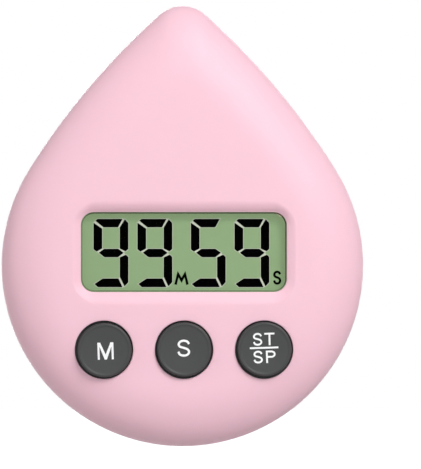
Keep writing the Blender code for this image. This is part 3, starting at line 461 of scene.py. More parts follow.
def shown(name: str, data: bpy.types.ID) -> bpy.types.Object:
    """A new object in the scene.

    Args:
        name: Its name.
        data: Its mesh, camera or light.

    Returns:
        The object.
    """
    obj = bpy.data.objects.new(name, data)
    bpy.context.scene.collection.objects.link(obj)
    return obj


def carved(
    base: bpy.types.Mesh,
    added: list[bpy.types.Mesh],
    cut: list[bpy.types.Mesh],
) -> bpy.types.Mesh:
    """A mesh with other closed meshes joined to it, and then others cut out of it.

    Args:
        base: The mesh to shape.
        added: Meshes that are joined to it.
        cut: Meshes that are cut out of it.

    Returns:
        The shaped mesh.
    """
    obj = shown("carving", base)
    groups = []
    for operation, meshes in (("UNION", added), ("DIFFERENCE", cut)):
        if not meshes:
            continue
        group = bpy.data.collections.new(operation)
        bpy.context.scene.collection.children.link(group)
        for mesh in meshes:
            group.objects.link(bpy.data.objects.new(mesh.name, mesh))
        modifier = obj.modifiers.new(operation, "BOOLEAN")
        modifier.operation = operation
        modifier.operand_type = "COLLECTION"
        modifier.collection = group
        modifier.solver = "EXACT"
        groups.append(group)
    graph = bpy.context.evaluated_depsgraph_get()
    mesh = bpy.data.meshes.new_from_object(obj.evaluated_get(graph))
    mesh.name = base.name
    for group in groups:
        for helper in list(group.objects):
            bpy.data.objects.remove(helper)
        bpy.data.collections.remove(group)
    bpy.data.objects.remove(obj)
    smooth(mesh)
    return mesh


def dress(
    name: str,
    mesh: bpy.types.Mesh,
    material: bpy.types.Material,
    body: Body,
    nodes: tuple[str, ...] = (),
) -> bpy.types.Object:
    """Puts a new piece in the scene on the body that it moves with, and hides what it replaces.

    Args:
        name: The piece's name.
        mesh: Its mesh, with its place in it.
        material: Its finish.
        body: The body that it moves with.
        nodes: The CAD nodes that it replaces.

    Returns:
        The piece.
    """
    mesh.materials.clear()
    mesh.materials.append(material)
    obj = shown(name, mesh)
    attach(obj, body.value)
    if nodes:
        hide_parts(*nodes)
    LOG.info("%s: %d faces, on %s", name, len(mesh.polygons), body.value)
    return obj


# Plain function letters


@dataclass(frozen=True)
class Letters:
    """The letters that tell what a button or a number stands for, in a box of one size."""

    width: float
    height: float
    stroke: float

    def within(self, path: Path) -> Array:
        """A path of parts of the box, drawn in by half a stroke, about the box's middle."""
        room = np.array((self.width, self.height)) - self.stroke
        return (np.array(path) - 0.5) * room

    def upright_m(self) -> list[Array]:
        """An M with upright sides and flat tops.

        Returns:
            Its outline, in a list of one.
        """
        half, tall, thick = self.width / 2, self.height, self.stroke
        shoulder, armpit, foot, notch = 1.4 * thick, 0.76 * tall, 0.55 * thick, 0.3 * tall
        right = [
            (half - shoulder, tall),
            (half, tall),
            (half, 0.0),
            (half - thick, 0.0),
            (half - thick, armpit),
            (foot, 0.0),
        ]
        left = [(-x, z) for x, z in right[::-1]]
        return [np.array([(0.0, notch), *right, *left]) - (0.0, tall / 2)]

    def pointed_m(self) -> list[Array]:
        """An M with splayed sides and pointed tops, as one stroke."""
        knots = [(0.03, -0.15), (0.23, 0.8), (0.5, 0.24), (0.77, 0.8), (0.97, -0.15)]
        return [stroke(self.within(knots), self.stroke)]

    def s(self) -> list[Array]:
        """An S, as a stroke along a smooth curve: its upper bowl, and then its lower one.

        Returns:
            Its outline, in a list of one.
        """
        upper = [(0.97, 0.78), (0.8, 0.94), (0.5, 1.0), (0.19, 0.93), (0.05, 0.76), (0.17, 0.6)]
        lower = [(0.84, 0.42), (0.97, 0.24), (0.82, 0.06), (0.5, 0.0), (0.17, 0.07), (0.02, 0.26)]
        return [stroke(self.within(flowing([*upper, (0.5, 0.52), *lower])), self.stroke)]

    def t(self) -> list[Array]:
        """A T.

        Returns:
            Its outline, in a list of one.
        """
        half, top, thick = self.width / 2, self.height / 2, self.stroke
        right = [(half, top), (half, top - thick), (thick / 2, top - thick), (thick / 2, -top)]
        return [np.array(right + [(-x, z) for x, z in right[::-1]])]

    def p(self) -> list[Array]:
        """A P: a stem, and a bowl that starts and ends at the stem's side.

        Returns:
            The outlines of the stem and of the bowl.
        """
        left, top, thick = -self.width / 2, self.height / 2, self.stroke
        stem = [(left, -top), (left, top), (left + thick, top), (left + thick, -top)]
        upper = [(0.42, 1.0), (0.72, 0.985), (0.95, 0.88), (1.0, 0.745)]
        lower = [(0.95, 0.61), (0.72, 0.505), (0.42, 0.49)]
        bowl = self.within(flowing([*upper, *lower]))
        ends = [(left + thick, bowl[end, 1]) for end in (0, -1)]
        return [np.array(stem), stroke(np.vstack((ends[0], bowl, ends[1])), thick)]

    def bar(self) -> list[Array]:
        """A plain bar that fills the box."""
        x, z = self.width / 2, self.height / 2
        return [np.array([(-x, -z), (-x, z), (x, z), (x, -z)])]


# Finishes


@dataclass
class Nodes:
    """A small hand for wiring a node tree."""

    tree: bpy.types.NodeTree

    def feed(self, socket: bpy.types.NodeSocket, value: Feed) -> None:
        """Joins a socket to the one that gives its value, or sets it to a plain value.

        Args:
            socket: The input.
            value: What it gets.
        """
        if isinstance(value, bpy.types.NodeSocket):
            self.tree.links.new(value, socket)
        else:
            socket.default_value = value

    def fill(self, node: bpy.types.Node, **values: Feed) -> None:
        """Feeds a node's inputs, where From_Min stands for the input From Min."""
        for name, value in values.items():
            self.feed(node.inputs[name.replace("_", " ")], value)

    def add(self, kind: str, **values: object) -> bpy.types.Node:
        """A new node.

        Args:
            kind: The node's type.
            values: Its settings, in small letters, and what its inputs get, named as in fill.

        Returns:
            The node.
        """
        node = self.tree.nodes.new(kind)
        for name, value in values.items():
            if name.islower():
                setattr(node, name, value)
        self.fill(node, **{name: value for name, value in values.items() if not name.islower()})
        return node

    def place(self) -> bpy.types.NodeSocket:
        """The Object coordinates."""
        return self.add("ShaderNodeTexCoord").outputs["Object"]

    def maths(self, operation: str, first: Feed, second: Feed = 0.0) -> bpy.types.NodeSocket:
        """A Math node's result.

        Args:
            operation: The Math node's operation.
            first: Its first value, or the socket that gives it.
            second: Its second value, likewise.

        Returns:
            The result's socket.
        """
        node = self.add("ShaderNodeMath", operation=operation)
        self.feed(node.inputs[0], first)
        self.feed(node.inputs[1], second)
        return node.outputs[0]

    def vectors(self, operation: str, *values: Feed) -> bpy.types.Node:
        """A Vector Math node that gets its values in their order.

        Args:
            operation: The Vector Math node's operation.
            values: What its inputs get.

        Returns:
            The node.
        """
        node = self.add("ShaderNodeVectorMath", operation=operation)
        for socket, value in zip(node.inputs, values):
            self.feed(socket, value)
        return node

    def noise(
        self,
        place: Feed,
        scale: Feed,
        detail: float,
        roughness: float = 0.5,
    ) -> bpy.types.NodeSocket:
        """A Noise Texture's value.

        Args:
            place: Where it is looked up.
            scale: Its scale per metre.
            detail: How many finer layers it has.
            roughness: How strong they are.

        Returns:
            The value's socket.
        """
        node = self.add(
            "ShaderNodeTexNoise", Vector=place, Scale=scale, Detail=detail, Roughness=roughness
        )
        return node.outputs["Fac"]

    def swing(self, noise: Feed, share: Feed) -> bpy.types.NodeSocket:
        """(noise - 0.5) * share."""
        return self.maths("MULTIPLY", self.maths("SUBTRACT", noise, 0.5), share)


def surface_group(name: str, **inputs: str) -> tuple[Nodes, bpy.types.Node, bpy.types.Node]:
    """A new node group that puts out Color, Roughness and Height.

    Args:
        name: The group's name.
        inputs: Each input's kind of socket: Color, Float or Vector.

    Returns:
        The group's tree, its input node and its output node.
    """
    tree = bpy.data.node_groups.new(name, "ShaderNodeTree")
    outputs = {"Color": "Color", "Roughness": "Float", "Height": "Float"}
    for direction, sockets in (("INPUT", inputs), ("OUTPUT", outputs)):
        for socket, kind in sockets.items():
            kind = f"NodeSocket{kind}"
            tree.interface.new_socket(name=socket, in_out=direction, socket_type=kind)
    make = Nodes(tree)
    return make, make.add("NodeGroupInput"), make.add("NodeGroupOutput")


def moulded_group(speck: float = 0.02, rub: float = 0.14) -> bpy.types.NodeTree:
    """The surface of a moulded part: a slow drift of its tone, and a fine satin grain.

    The colour is scaled by 1 + drift * (slow - 0.5) + speck * (fine - 0.5), and the roughness
    grows by rub * (cloudy - 0.5), where slow, cloudy and fine are noises.

    Args:
        speck: The share of the tone that the fine grain changes.
        rub: How much the roughness varies.

    Returns:
        A group with Color, Roughness and Height out of Color, Roughness, Drift and Grain.
    """
    make, given, result = surface_group(
        "moulded_surface", Color="Color", Roughness="Float", Drift="Float", Grain="Float"
    )
    place = make.place()
    slow = make.noise(place, scale=45.0, detail=3.0)
    cloudy = make.noise(place, scale=260.0, detail=2.0)
    fine = make.noise(place, given.outputs["Grain"], detail=4.0, roughness=0.65)
    change = make.maths("ADD", make.swing(slow, given.outputs["Drift"]), make.swing(fine, speck))
    scaled = make.vectors("SCALE", given.outputs["Color"])
    make.fill(scaled, Scale=make.maths("ADD", change, 1.0))
    make.fill(
        result,
        Color=scaled.outputs["Vector"],
        Roughness=make.maths("ADD", given.outputs["Roughness"], make.swing(cloudy, rub)),
        Height=fine,
    )
    return make.tree


def brushed_group(patchy: float = 0.5, rub: float = 0.25) -> bpy.types.NodeTree:
    """The surface of rolled or plated metal: fine lines along one axis, and faint tarnish.

    The tarnish covers up to the patchy share, where a noise is over 0.5, and the roughness grows
    by rub * (lines - 0.5).

    Args:
        patchy: How much of the colour the tarnish takes at most.
        rub: How much the roughness varies.

    Returns:
        A group with Color, Roughness and Height out of Color, Tarnish, Roughness and Lines.
    """
    make, given, result = surface_group(
        "rolled_metal", Color="Color", Tarnish="Color", Roughness="Float", Lines="Vector"
    )
    place = make.place()
    stretched = make.vectors("MULTIPLY", place, given.outputs["Lines"])
    lines = make.noise(stretched.outputs["Vector"], scale=1.0, detail=3.0)
    patches = make.noise(place, scale=420.0, detail=4.0)
    band = make.add("ShaderNodeMapRange", Value=patches, From_Min=0.5, From_Max=0.75)
    mix = make.add(
        "ShaderNodeMix",
        data_type="RGBA",
        Factor=make.maths("MULTIPLY", band.outputs["Result"], patchy),
        A=given.outputs["Color"],
        B=given.outputs["Tarnish"],
    )
    make.fill(
        result,
        Color=mix.outputs["Result"],
        Roughness=make.maths("ADD", given.outputs["Roughness"], make.swing(lines, rub)),
        Height=lines,
    )
    return make.tree


MOULDED = moulded_group()
BRUSHED = brushed_group()


@dataclass(frozen=True)
class Finish:
    """What every finish has: a name, a screen colour and a roughness."""

    name: str
    colour: Colour
    roughness: float

    def begin(self) -> tuple[bpy.types.Material, Nodes, bpy.types.Node]:
        """A new material, its tree and its shader.

        Returns:
            The material, its tree and its Principled BSDF.
        """
        material = bpy.data.materials.new(self.name)
        material.use_nodes = True
        make = Nodes(material.node_tree)
        return material, make, material.node_tree.nodes["Principled BSDF"]

    def surface(
        self,
        make: Nodes,
        shader: bpy.types.Node,
        group: bpy.types.NodeTree,
        relief: float,
        height: bpy.types.NodeSocket | None = None,
        **values: Feed,
    ) -> bpy.types.Node:
        """Gives a shader its colour, roughness and bumps from a surface group.

        Args:
            make: The material's tree.
            shader: Its shader.
            group: The surface group.
            relief: How deep the bumps are, in metres.
            height: What the bumps follow, if it isn't the group's own height.
            values: The group's other inputs, and its colour if it isn't the finish's own.

        Returns:
            The group's node.
        """
        given = {"Color": linear(self.colour), "Roughness": self.roughness, **values}
        surface = make.add("ShaderNodeGroup", node_tree=group, **given)
        height = surface.outputs["Height"] if height is None else height
        bump = make.add("ShaderNodeBump", Strength=0.6, Distance=relief, Height=height)
        make.fill(
            shader,
            Base_Color=surface.outputs["Color"],
            Roughness=surface.outputs["Roughness"],
            Normal=bump.outputs["Normal"],
        )
        return surface


@dataclass(frozen=True)
class Moulded(Finish):
    """Moulded plastic, rubber, film or ceramic, with a satin grain."""

    drift: float = 0.05
    grain: float = 5200.0
    relief: float = 0.000006
    softness: float = 0.0
    soft_reach: tuple[float, float, float] = (1.0, 0.55, 0.45)
    soft_depth: float = 0.0012
    level: float = 0.5
    alpha: float = 1.0
    # A glow is painted light: the surface gives off its own colour though it is no lamp.
    glow: float = 0.0

    def build(self) -> bpy.types.Material:
        """Makes the material.

        The group's colour is also the glow's, where there is one; a glow is painted light.

        Returns:
            The material.
        """
        material, make, shader = self.begin()
        surface = self.surface(
            make, shader, MOULDED, self.relief, Drift=self.drift, Grain=self.grain
        )
        make.fill(
            shader,
            Specular_IOR_Level=self.level,
            Subsurface_Weight=self.softness,
            Subsurface_Radius=self.soft_reach,
            Subsurface_Scale=self.soft_depth,
            Alpha=self.alpha,
        )
        if self.glow:
            make.fill(shader, Emission_Color=surface.outputs["Color"], Emission_Strength=self.glow)
        return material


@dataclass(frozen=True)
class Metal(Finish):
    """Plated or rolled metal with fine lines and faint tarnish."""

    tarnish: Colour = (120, 116, 108)
    lines: tuple[float, float, float] = (900.0, 900.0, 9000.0)
    relief: float = 0.000004

    def build(self) -> bpy.types.Material:
        """Makes the material.

        Returns:
            The material.
        """
        material, make, shader = self.begin()
        tarnish = linear(self.tarnish)
        self.surface(make, shader, BRUSHED, self.relief, Tarnish=tarnish, Lines=self.lines)
        make.fill(shader, Metallic=1.0)
        return material


@dataclass(frozen=True)
class Vinyl(Finish):
    """Soft clear vinyl: tinted glass with a slightly waxy surface."""

    drift: float = 0.03
    grain: float = 900.0
    relief: float = 0.00001
    clearness: float = 0.9
    index: float = 1.45

    def build(self) -> bpy.types.Material:
        """Makes the material.

        Returns:
            The material.
        """
        material, make, shader = self.begin()
        self.surface(make, shader, MOULDED, self.relief, Drift=self.drift, Grain=self.grain)
        make.fill(shader, Transmission_Weight=self.clearness, IOR=self.index)
        return material


@dataclass(frozen=True)
class Pane(Finish):
    """A coated clear pane: nearly unseen from the front, a mirror at a grazing angle, and with a
    painted shadow at its cut edge, heavier towards the top and right."""

    front: float = 0.0
    side: float = 0.8
    index: float = 1.45
    straight_on: float = 0.034
    # Painted shadow: the dark tint of the cut edge stands for the shadowed gap round the lens.
    edge: Colour = (66, 50, 46)
    painted_shadow_cover: tuple[float, float] = (0.35, 1.15)
    painted_shadow_side: tuple[float, float, float] = (0.65, 0.0, 0.76)
    face: float = 0.97
    smear: float = 0.05

    def build(self) -> bpy.types.Material:
        """The material: a mirror whose Alpha is its Fresnel reflection.

        The edge is where the surface's normal n leaves the depth axis: |y| below the face's
        share. It gets a painted shadow: a dark tint whose cover grows from the first share to the
        second with n . s, towards the side s where the window wall's shadow falls.

        Returns:
            The material.
        """
        material, make, shader = self.begin()
        mirror = make.add("ShaderNodeFresnel", IOR=self.index).outputs[0]
        cover = make.add(
            "ShaderNodeMapRange",
            Value=mirror,
            From_Min=self.straight_on,
            From_Max=1.0,
            To_Min=self.front,
            To_Max=self.side,
        )
        normal = make.add("ShaderNodeTexCoord").outputs["Normal"]
        split = make.add("ShaderNodeSeparateXYZ", Vector=normal)
        # Painted shadow along the cut edge, heavier towards the top and right, where the wall's
        # shadow falls.
        edge = make.maths("LESS_THAN", make.maths("ABSOLUTE", split.outputs["Y"]), self.face)
        facing = make.vectors("DOT_PRODUCT", normal, self.painted_shadow_side).outputs["Value"]
        least, most = self.painted_shadow_cover
        shade = make.add("ShaderNodeMapRange", Value=facing, To_Min=least, To_Max=most)
        dark = make.maths("MULTIPLY", edge, shade.outputs["Result"])
        colours = {"A": linear(self.colour), "B": linear(self.edge)}
        tint = make.add("ShaderNodeMix", data_type="RGBA", Factor=edge, **colours)
        smeared = make.noise(make.place(), scale=90.0, detail=3.0)
        rub = make.maths("MULTIPLY", smeared, self.smear)
        make.fill(
            shader,
            Base_Color=tint.outputs["Result"],
            Roughness=make.maths("ADD", rub, self.roughness),
            Metallic=1.0,
            Alpha=make.maths("MAXIMUM", cover.outputs["Result"], dark),
        )
        return material


@dataclass(frozen=True)
class Striped(Finish):
    """The rubber strip between the display and the board: thin dark and pale layers."""

    pale: Colour = (190, 190, 186)
    pitch: float = 0.0004

    def build(self) -> bpy.types.Material:
        """The material: a square wave along X mixes the two colours.

        Returns:
            The material.
        """
        material, make, shader = self.begin()
        split = make.add("ShaderNodeSeparateXYZ", Vector=make.place())
        phase = make.maths("MULTIPLY", split.outputs["X"], FULL_TURN / self.pitch)
        mask = make.maths("GREATER_THAN", make.maths("SINE", phase), 0.0)
        colours = {"A": linear(self.colour), "B": linear(self.pale)}
        mix = make.add("ShaderNodeMix", data_type="RGBA", Factor=mask, **colours)
        make.fill(shader, Base_Color=mix.outputs["Result"], Roughness=self.roughness)
        return material


@dataclass(frozen=True)
class Board(Finish):
    """A circuit board: solder mask over copper tracks that show as slightly paler lines."""

    track: Colour = (40, 118, 70)
    pitch: float = 160.0
    track_width: float = 0.05
    drift: float = 0.08
    grain: float = 3000.0
    relief: float = 0.00002

    def build(self) -> bpy.types.Material:
        """The material: a brick pattern of thin lines stands for the tracks.

        Returns:
            The material.
        """
        material, make, shader = self.begin()
        flat = make.add(
            "ShaderNodeMapping", Vector=make.place(), Rotation=(math.pi / 2, 0.0, 0.0)
        )
        tracks = make.add(
            "ShaderNodeTexBrick",
            Vector=flat.outputs["Vector"],
            Scale=self.pitch,
            Mortar_Size=self.track_width,
            Color1=linear(self.colour),
            Color2=linear(self.colour),
            Mortar=linear(self.track),
        )
        self.surface(
            make,
            shader,
            MOULDED,
            self.relief,
            height=tracks.outputs["Fac"],
            Color=tracks.outputs["Color"],
            Drift=self.drift,
            Grain=self.grain,
        )
        return material


PINK = Moulded("pink_plastic", (246, 200, 214), 0.5, drift=0.02, softness=0.1, level=0.4)
GREY = Moulded("grey_plastic", (56, 57, 57), 0.38, drift=0.06, grain=4200.0, level=0.35)
INK = Moulded("white_ink", (246, 247, 247), 0.55, drift=0.0, relief=0.000002)
# The lens carries a painted shadow along its cut edge.
CLEAR = Pane("clear_lens", (236, 240, 238), 0.02)
POLARISER = Moulded("polariser_film", (30, 34, 28), 0.4, relief=0.0, alpha=0.012, level=0.1)
# The display's green glows: painted light that lightens the shadow the window's wall casts on the
# display.
DISPLAY = Moulded(
    "display_green",
    (126, 149, 111),
    0.5,
    drift=0.02,
    grain=2600.0,
    relief=0.000001,
    level=0.1,
    glow=0.8,
)
SEGMENT = Moulded("display_black", (3, 3, 3), 0.6, drift=0.0, relief=0.0, level=0.0)
# The pale joints glow too: painted light.
JOINT = Moulded("display_pale", (170, 175, 160), 0.5, drift=0.0, relief=0.0, level=0.1, glow=0.8)
SEAL = Moulded("seal_rubber", (44, 44, 46), 0.7, drift=0.12, grain=3600.0)
ADHESIVE = Moulded("adhesive_foam", (26, 26, 27), 0.85, drift=0.1, grain=6500.0, relief=0.00002)
WHITE = Moulded("white_plastic", (228, 228, 222), 0.5)
SILVER = Moulded("silver_film", (196, 200, 200), 0.35, relief=0.000002, level=1.0)
SILICONE = Moulded("silicone", (214, 214, 208), 0.55, softness=0.4)
RESIN = Moulded("potting_resin", (16, 16, 18), 0.3, grain=1800.0, relief=0.00002)
CERAMIC = Moulded("fired_ceramic", (214, 204, 182), 0.6, drift=0.1)
RED_WIRE = Moulded("red_wire_sleeve", (178, 38, 34), 0.45)
BLACK_WIRE = Moulded("black_wire_sleeve", (24, 24, 26), 0.45)
ZEBRA = Striped("contact_rubber", (52, 52, 54), 0.7)
BOARD = Board("circuit_board", (22, 86, 48), 0.4)
ZINC = Metal("zinc_plate", (186, 188, 190), 0.36, tarnish=(146, 142, 132))
NICKEL = Metal("nickel_plate", (202, 198, 188), 0.28)
BRASS = Metal("rolled_brass", (202, 164, 92), 0.32, tarnish=(140, 104, 58))
VINYL = Vinyl("clear_vinyl", (226, 236, 240), 0.12)


# The case


@dataclass
class Drop:
    """The case's outline: a bottom circle, a small one at the tip and a long arc at each side."""

    height: float = 85.0
    bottom_radius: float = 34.9
    tip_radius: float = 6.6
    side_radius: float = 137.5
    bottom_steps: int = 110
    side_steps: int = 70
    tip_steps: int = 30

    def ring(
        self,
        inset: float,
        tip_inset: float | None = None,
        tip_radius: float | None = None,
    ) -> Array:
        """The outline drawn in by an inset, as three tangent arcs on each side.

        The side arc's centre lies where its distance to each circle's centre is the difference of
        the radii.

        Args:
            inset: How far the bottom and the sides are drawn in.
            tip_inset: How far the tip is, if that differs.
            tip_radius: The tip's radius, if it isn't drawn in evenly.

        Returns:
            The ring as n x 2, from the foot up the right side and down the left.
        """
        tip_inset = inset if tip_inset is None else tip_inset
        tip_radius = self.tip_radius - inset if tip_radius is None else tip_radius
        bottom, side = self.bottom_radius - inset, self.side_radius - inset
        low = self.bottom_radius
        high = self.height - tip_inset - tip_radius
        to_low, to_high = side - bottom, side - tip_radius
        rise = (low + high) / 2 + (to_low**2 - to_high**2) / (2 * (high - low))
        across = -math.sqrt(to_low**2 - (rise - low) ** 2)
        first = math.atan2(low - rise, -across)
        last = math.atan2(high - rise, -across)
        parts = []
        for x, z, radius, start, end, steps in (
            (0.0, low, bottom, -math.pi / 2, first, self.bottom_steps),
            (across, rise, side, first, last, self.side_steps),
            (0.0, high, tip_radius, last, math.pi / 2, self.tip_steps),
        ):
            angle = np.linspace(start, end, steps, endpoint=False)
            parts.append(np.column_stack((x + radius * np.cos(angle), z + radius * np.sin(angle))))
        parts.append(np.array([(0.0, high + tip_radius)]))
        right = np.vstack(parts)
        return np.vstack((right, right[-2:0:-1] * (-1, 1)))


@dataclass
class BackOpenings:
    """The places and sizes of what the back of the case carries."""

    depth: float = 24.0
    inside: float = 22.0
    root: float = 22.15
    rim: float = 9.8
    seat: float = 15.5
    screw_places: tuple[tuple[float, float], ...] = (
        (0.0, 73.0),
        (0.0, 6.8),
        (-21.54, 52.95),
        (21.54, 52.95),
        (-25.04, 22.15),
        (25.04, 22.15),
    )
    door_height: float = 24.0
    door_radius: float = 14.0
    door_core: float = 11.3
    thread_height: float = 0.8
    thread_gap: float = 0.25
    thread_starts: int = 3
    thread_lead: float = 8.0
    thread_span: tuple[float, float] = (17.8, 21.0)
    knob_height: float = 55.0
    lift: float = 9.5

    def thread(self, core: float, start: float, end: float, rings: int, steps: int) -> Array:
        """Rings across the door's thread, or its nut in the case.

        The radius is core + height * (1 + cos(starts * (turn - 2 pi depth / lead))) / 2.

        Args:
            core: The radius between the threads.
            start: The first ring's depth.
            end: The last ring's depth.
            rings: How many rings.
            steps: Points round each ring.

        Returns:
            The grid in metres, as rings x steps x 3.
        """
        turn = around(steps)
        depth = np.linspace(start, end, rings)[:, None]
        phase = self.thread_starts * (turn - FULL_TURN * depth / self.thread_lead)
        radius = core + self.thread_height * (1 + np.cos(phase)) / 2
        return placed(radius * np.sin(turn), depth, self.door_height + radius * np.cos(turn))

    @property
    def travel_height(self) -> float:
        """How high the middle of the knob's travel is."""
        return self.knob_height - self.lift / 2


@dataclass
class Shell:
    """What both casings share: the outline, the side walls and the seam's small edge."""

    drop: Drop = field(default_factory=Drop)
    openings: BackOpenings = field(default_factory=BackOpenings)
    side_wall: float = 3.0
    seam_edge: float = 0.2
    seam_facet: float = 0.06

    def rings(self, profile: Path) -> list[Array]:
        """The outline's ring at each (inset, depth) of a profile, in case millimetres."""
        return [at_depth(self.drop.ring(inset), depth) for inset, depth in profile]

    def lofted(self, name: str, rings: list[Array], closed: bool = False) -> bpy.types.Mesh:
        """A mesh over rings in case millimetres."""
        return grid_mesh(name, placed(*np.moveaxis(np.array(rings), -1, 0)), closed)


@dataclass
class FrontCase(Shell):
    """The front casing: a broad edge curve, a flat middle, the window's basin and three holes."""

    wall: float = 2.0
    seam: float = 9.5
    seam_bead: tuple[float, float] = (0.5, 0.28)
    curve_depth: float = 7.5
    inner_curve_depth: float = 3.5
    flat_inset: float = 11.0
    flat_tip_inset: float = 16.0
    flat_tip_radius: float = 5.0
    curve_power: float = 2.05
    basin_margin: float = 2.35
    basin_side_margin: float = 1.7
    basin_depth: float = 0.8
    basin_power: float = 1.3
    basin_rise: tuple[float, float] = (0.37, 0.85)
    window_lip: tuple[float, float] = (0.15, 0.195)
    crowding: float = 2.2
    hole_radius: float = 5.6
    hole_edge: float = 0.13
    hole_end: float = 6.0
    button_places: tuple[float, ...] = (-BUTTON_PITCH, 0.0, BUTTON_PITCH)
    root: float = 1.95
    case_tube: tuple[float, float] = (3.0, 9.5)
    case_pilot: tuple[float, float] = (1.15, 4.7)
    board_places: tuple[tuple[float, float], ...] = (
        (-12.0, 51.3),
        (12.0, 51.3),
        (-7.71, 10.7),
        (7.71, 10.7),
    )
    board_tube: tuple[float, float] = (2.2, 8.0)
    board_pilot: tuple[float, float] = (1.15, 4.2)
    sounder_ring: tuple[float, float, float] = (4.6, 5.6, 3.0)
    sounder_height: float = 59.28

    def curve(self, inset: float, start: float, end: float, steps: int) -> list[Array]:
        """Rings from the side to the flat middle, along a quarter of a rounded ellipse.

        With t from 0 to a right angle and p the power, the share of the inset covered is
        1 - cos(t) ** (2 / p), and the share of the depth left is 1 - sin(t) ** (2 / p).

        Args:
            inset: Where the curve starts, in from the outline.
            start: Its depth there.
            end: The flat middle's depth.
            steps: How many rings.

        Returns:
            The rings, each n x 3 in case millimetres.
        """
        rings = []
        tip_radius = self.drop.tip_radius - inset
        for angle in np.linspace(0, math.pi / 2, steps):
            along = 1 - max(math.cos(angle), 0.0) ** (2 / self.curve_power)
            fall = 1 - math.sin(angle) ** (2 / self.curve_power)
            ring = self.drop.ring(
                inset + (self.flat_inset - inset) * along,
                inset + (self.flat_tip_inset - inset) * along,
                tip_radius + (self.flat_tip_radius - tip_radius) * along,
            )
            rings.append(at_depth(ring, end + (start - end) * fall))
        return rings

    def window_ring(self, flat: Array, grown: float, halvings: int = 40) -> Array:
        """Where the lines from the window's middle to the flat middle's edge cross the window.

        The crossing is found by halving the range of distances along each line.

        Args:
            flat: The flat middle's edge as n x 2.
            grown: How far outside the window the ring lies.
            halvings: How often the range is halved.

        Returns:
            The ring as n x 2, one point for each line.
        """
        middle = np.array((0.0, WINDOW_HEIGHT))
        away = flat - middle
        near, far = np.zeros(len(flat)), np.ones(len(flat))
        for _ in range(halvings):
            half = (near + far) / 2
            outside = box_distance(away * half[:, None], *WINDOW) > grown
            far = np.where(outside, half, far)
            near = np.where(outside, near, half)
        return middle + away * far[:, None]

    def basin(self, points: Array) -> Array:
        """The basin's depth at places on the flat middle: depth * (1 - distance / margin) ** power.

        The margin is narrower at the window's sides. Above the window the depth and the power grow
        by their rise, so that the basin is steeper there.

        Args:
            points: (across, height) as ... x 2.

        Returns:
            The depths.
        """
        centred = points - np.array((0.0, WINDOW_HEIGHT))
        width, tall, corner = WINDOW
        above = np.clip(centred[..., 1] / (tall / 2), 0, 1) ** 2
        aside = np.clip((np.abs(centred[..., 0]) - width / 2 + corner) / corner, 0, 1)
        margin = self.basin_margin + (self.basin_side_margin - self.basin_margin) * aside
        depth = self.basin_depth + self.basin_rise[0] * above
        power = self.basin_power + self.basin_rise[1] * above
        distance = np.clip(box_distance(centred, *WINDOW), 0, margin)
        return depth * (1 - distance / margin) ** power

    def face(self, points: Array) -> Array:
        """The front's depth round the buttons, where the outline is the bottom circle.

        It turns the edge curve round: with u the share of the flat middle's inset,
        cos(t) = (1 - u) ** (p / 2), and the depth is the curve's depth * (1 - sin(t) ** (2 / p)).

        Args:
            points: (across, height) as ... x 2.

        Returns:
            The depths.
        """
        radius = self.drop.bottom_radius
        inset = radius - np.linalg.norm(points - np.array((0.0, radius)), axis=-1)
        share = np.clip(inset / self.flat_inset, 0, 1)
        sine = np.sqrt(1 - (1 - share) ** self.curve_power)
        return self.curve_depth * (1 - sine ** (2 / self.curve_power))

    def middle(self, flat: Array, steps: int) -> list[Array]:
        """Rings from the flat middle's edge to the window, closer together near the window.

        The last ones bend round the window's lip and into the window.

        Args:
            flat: The flat middle's edge as n x 2.
            steps: How many rings.

        Returns:
            The rings, each n x 3 in case millimetres.
        """
        rings = []
        width, sink = self.window_lip
        lip = self.window_ring(flat, width)
        for share in 1 - (1 - np.linspace(0, 1, steps)[1:]) ** self.crowding:
            ring = flat + (lip - flat) * share
            rings.append(at_depth(ring, self.basin(ring)))
        start = self.basin(lip)
        for grown, sunk in bend((width, 0.0), (0.0, sink), steps=6)[1:]:
            rings.append(at_depth(self.window_ring(flat, grown), start + sunk))
        return rings

    def hole(self, across: float) -> bpy.types.Mesh:
        """A button hole's cutter, whose mouth flares by a quarter circle along the front.

        Args:
            across: The hole's place across the case.

        Returns:
            The cutter.
        """
        mouth = self.hole_radius + self.hole_edge
        flare = bend((mouth, 0.0), (self.hole_radius, self.hole_edge), steps=8) - (0.0, SKIM)
        profile = np.vstack(((mouth, -OVERRUN), flare, (self.hole_radius, self.hole_end)))
        radii, depths = np.hsplit(profile, 2)
        turn = around(steps=120)
        x, z = across + radii * np.sin(turn), BUTTON_HEIGHT + radii * np.cos(turn)
        follow = self.face(np.stack((x, z), axis=-1))
        follow[-1] = 0
        return grid_mesh("hole", placed(x, depths + follow, z))

    def inside(self) -> tuple[list[bpy.types.Mesh], list[bpy.types.Mesh]]:
        """What stands on the inner side: ten screw tubes and the sounder's ring.

        Returns:
            The tubes and the ring, and the pilot holes that are cut in the tubes.
        """
        tubes, pilots = [], []
        for places, (radius, end), (bore, tip) in (
            (self.openings.screw_places, self.case_tube, self.case_pilot),
            (self.board_places, self.board_tube, self.board_pilot),
        ):
            tube = [(radius, self.root), (radius, end)]
            pilot = [(bore, tip), (bore, end + OVERRUN)]
            for across, height in places:
                place = {"across": across, "height": height}
                tubes.append(grid_mesh("tube", turned(tube, steps=40, **place)))
                pilots.append(grid_mesh("pilot", turned(pilot, steps=24, **place)))
        inner, outer, end = self.sounder_ring
        ring = [(inner, self.root), (outer, self.root), (outer, end), (inner, end)]
        grid = turned(ring, steps=60, height=self.sounder_height)
        tubes.append(grid_mesh("ring", grid, closed=True))
        return tubes, pilots

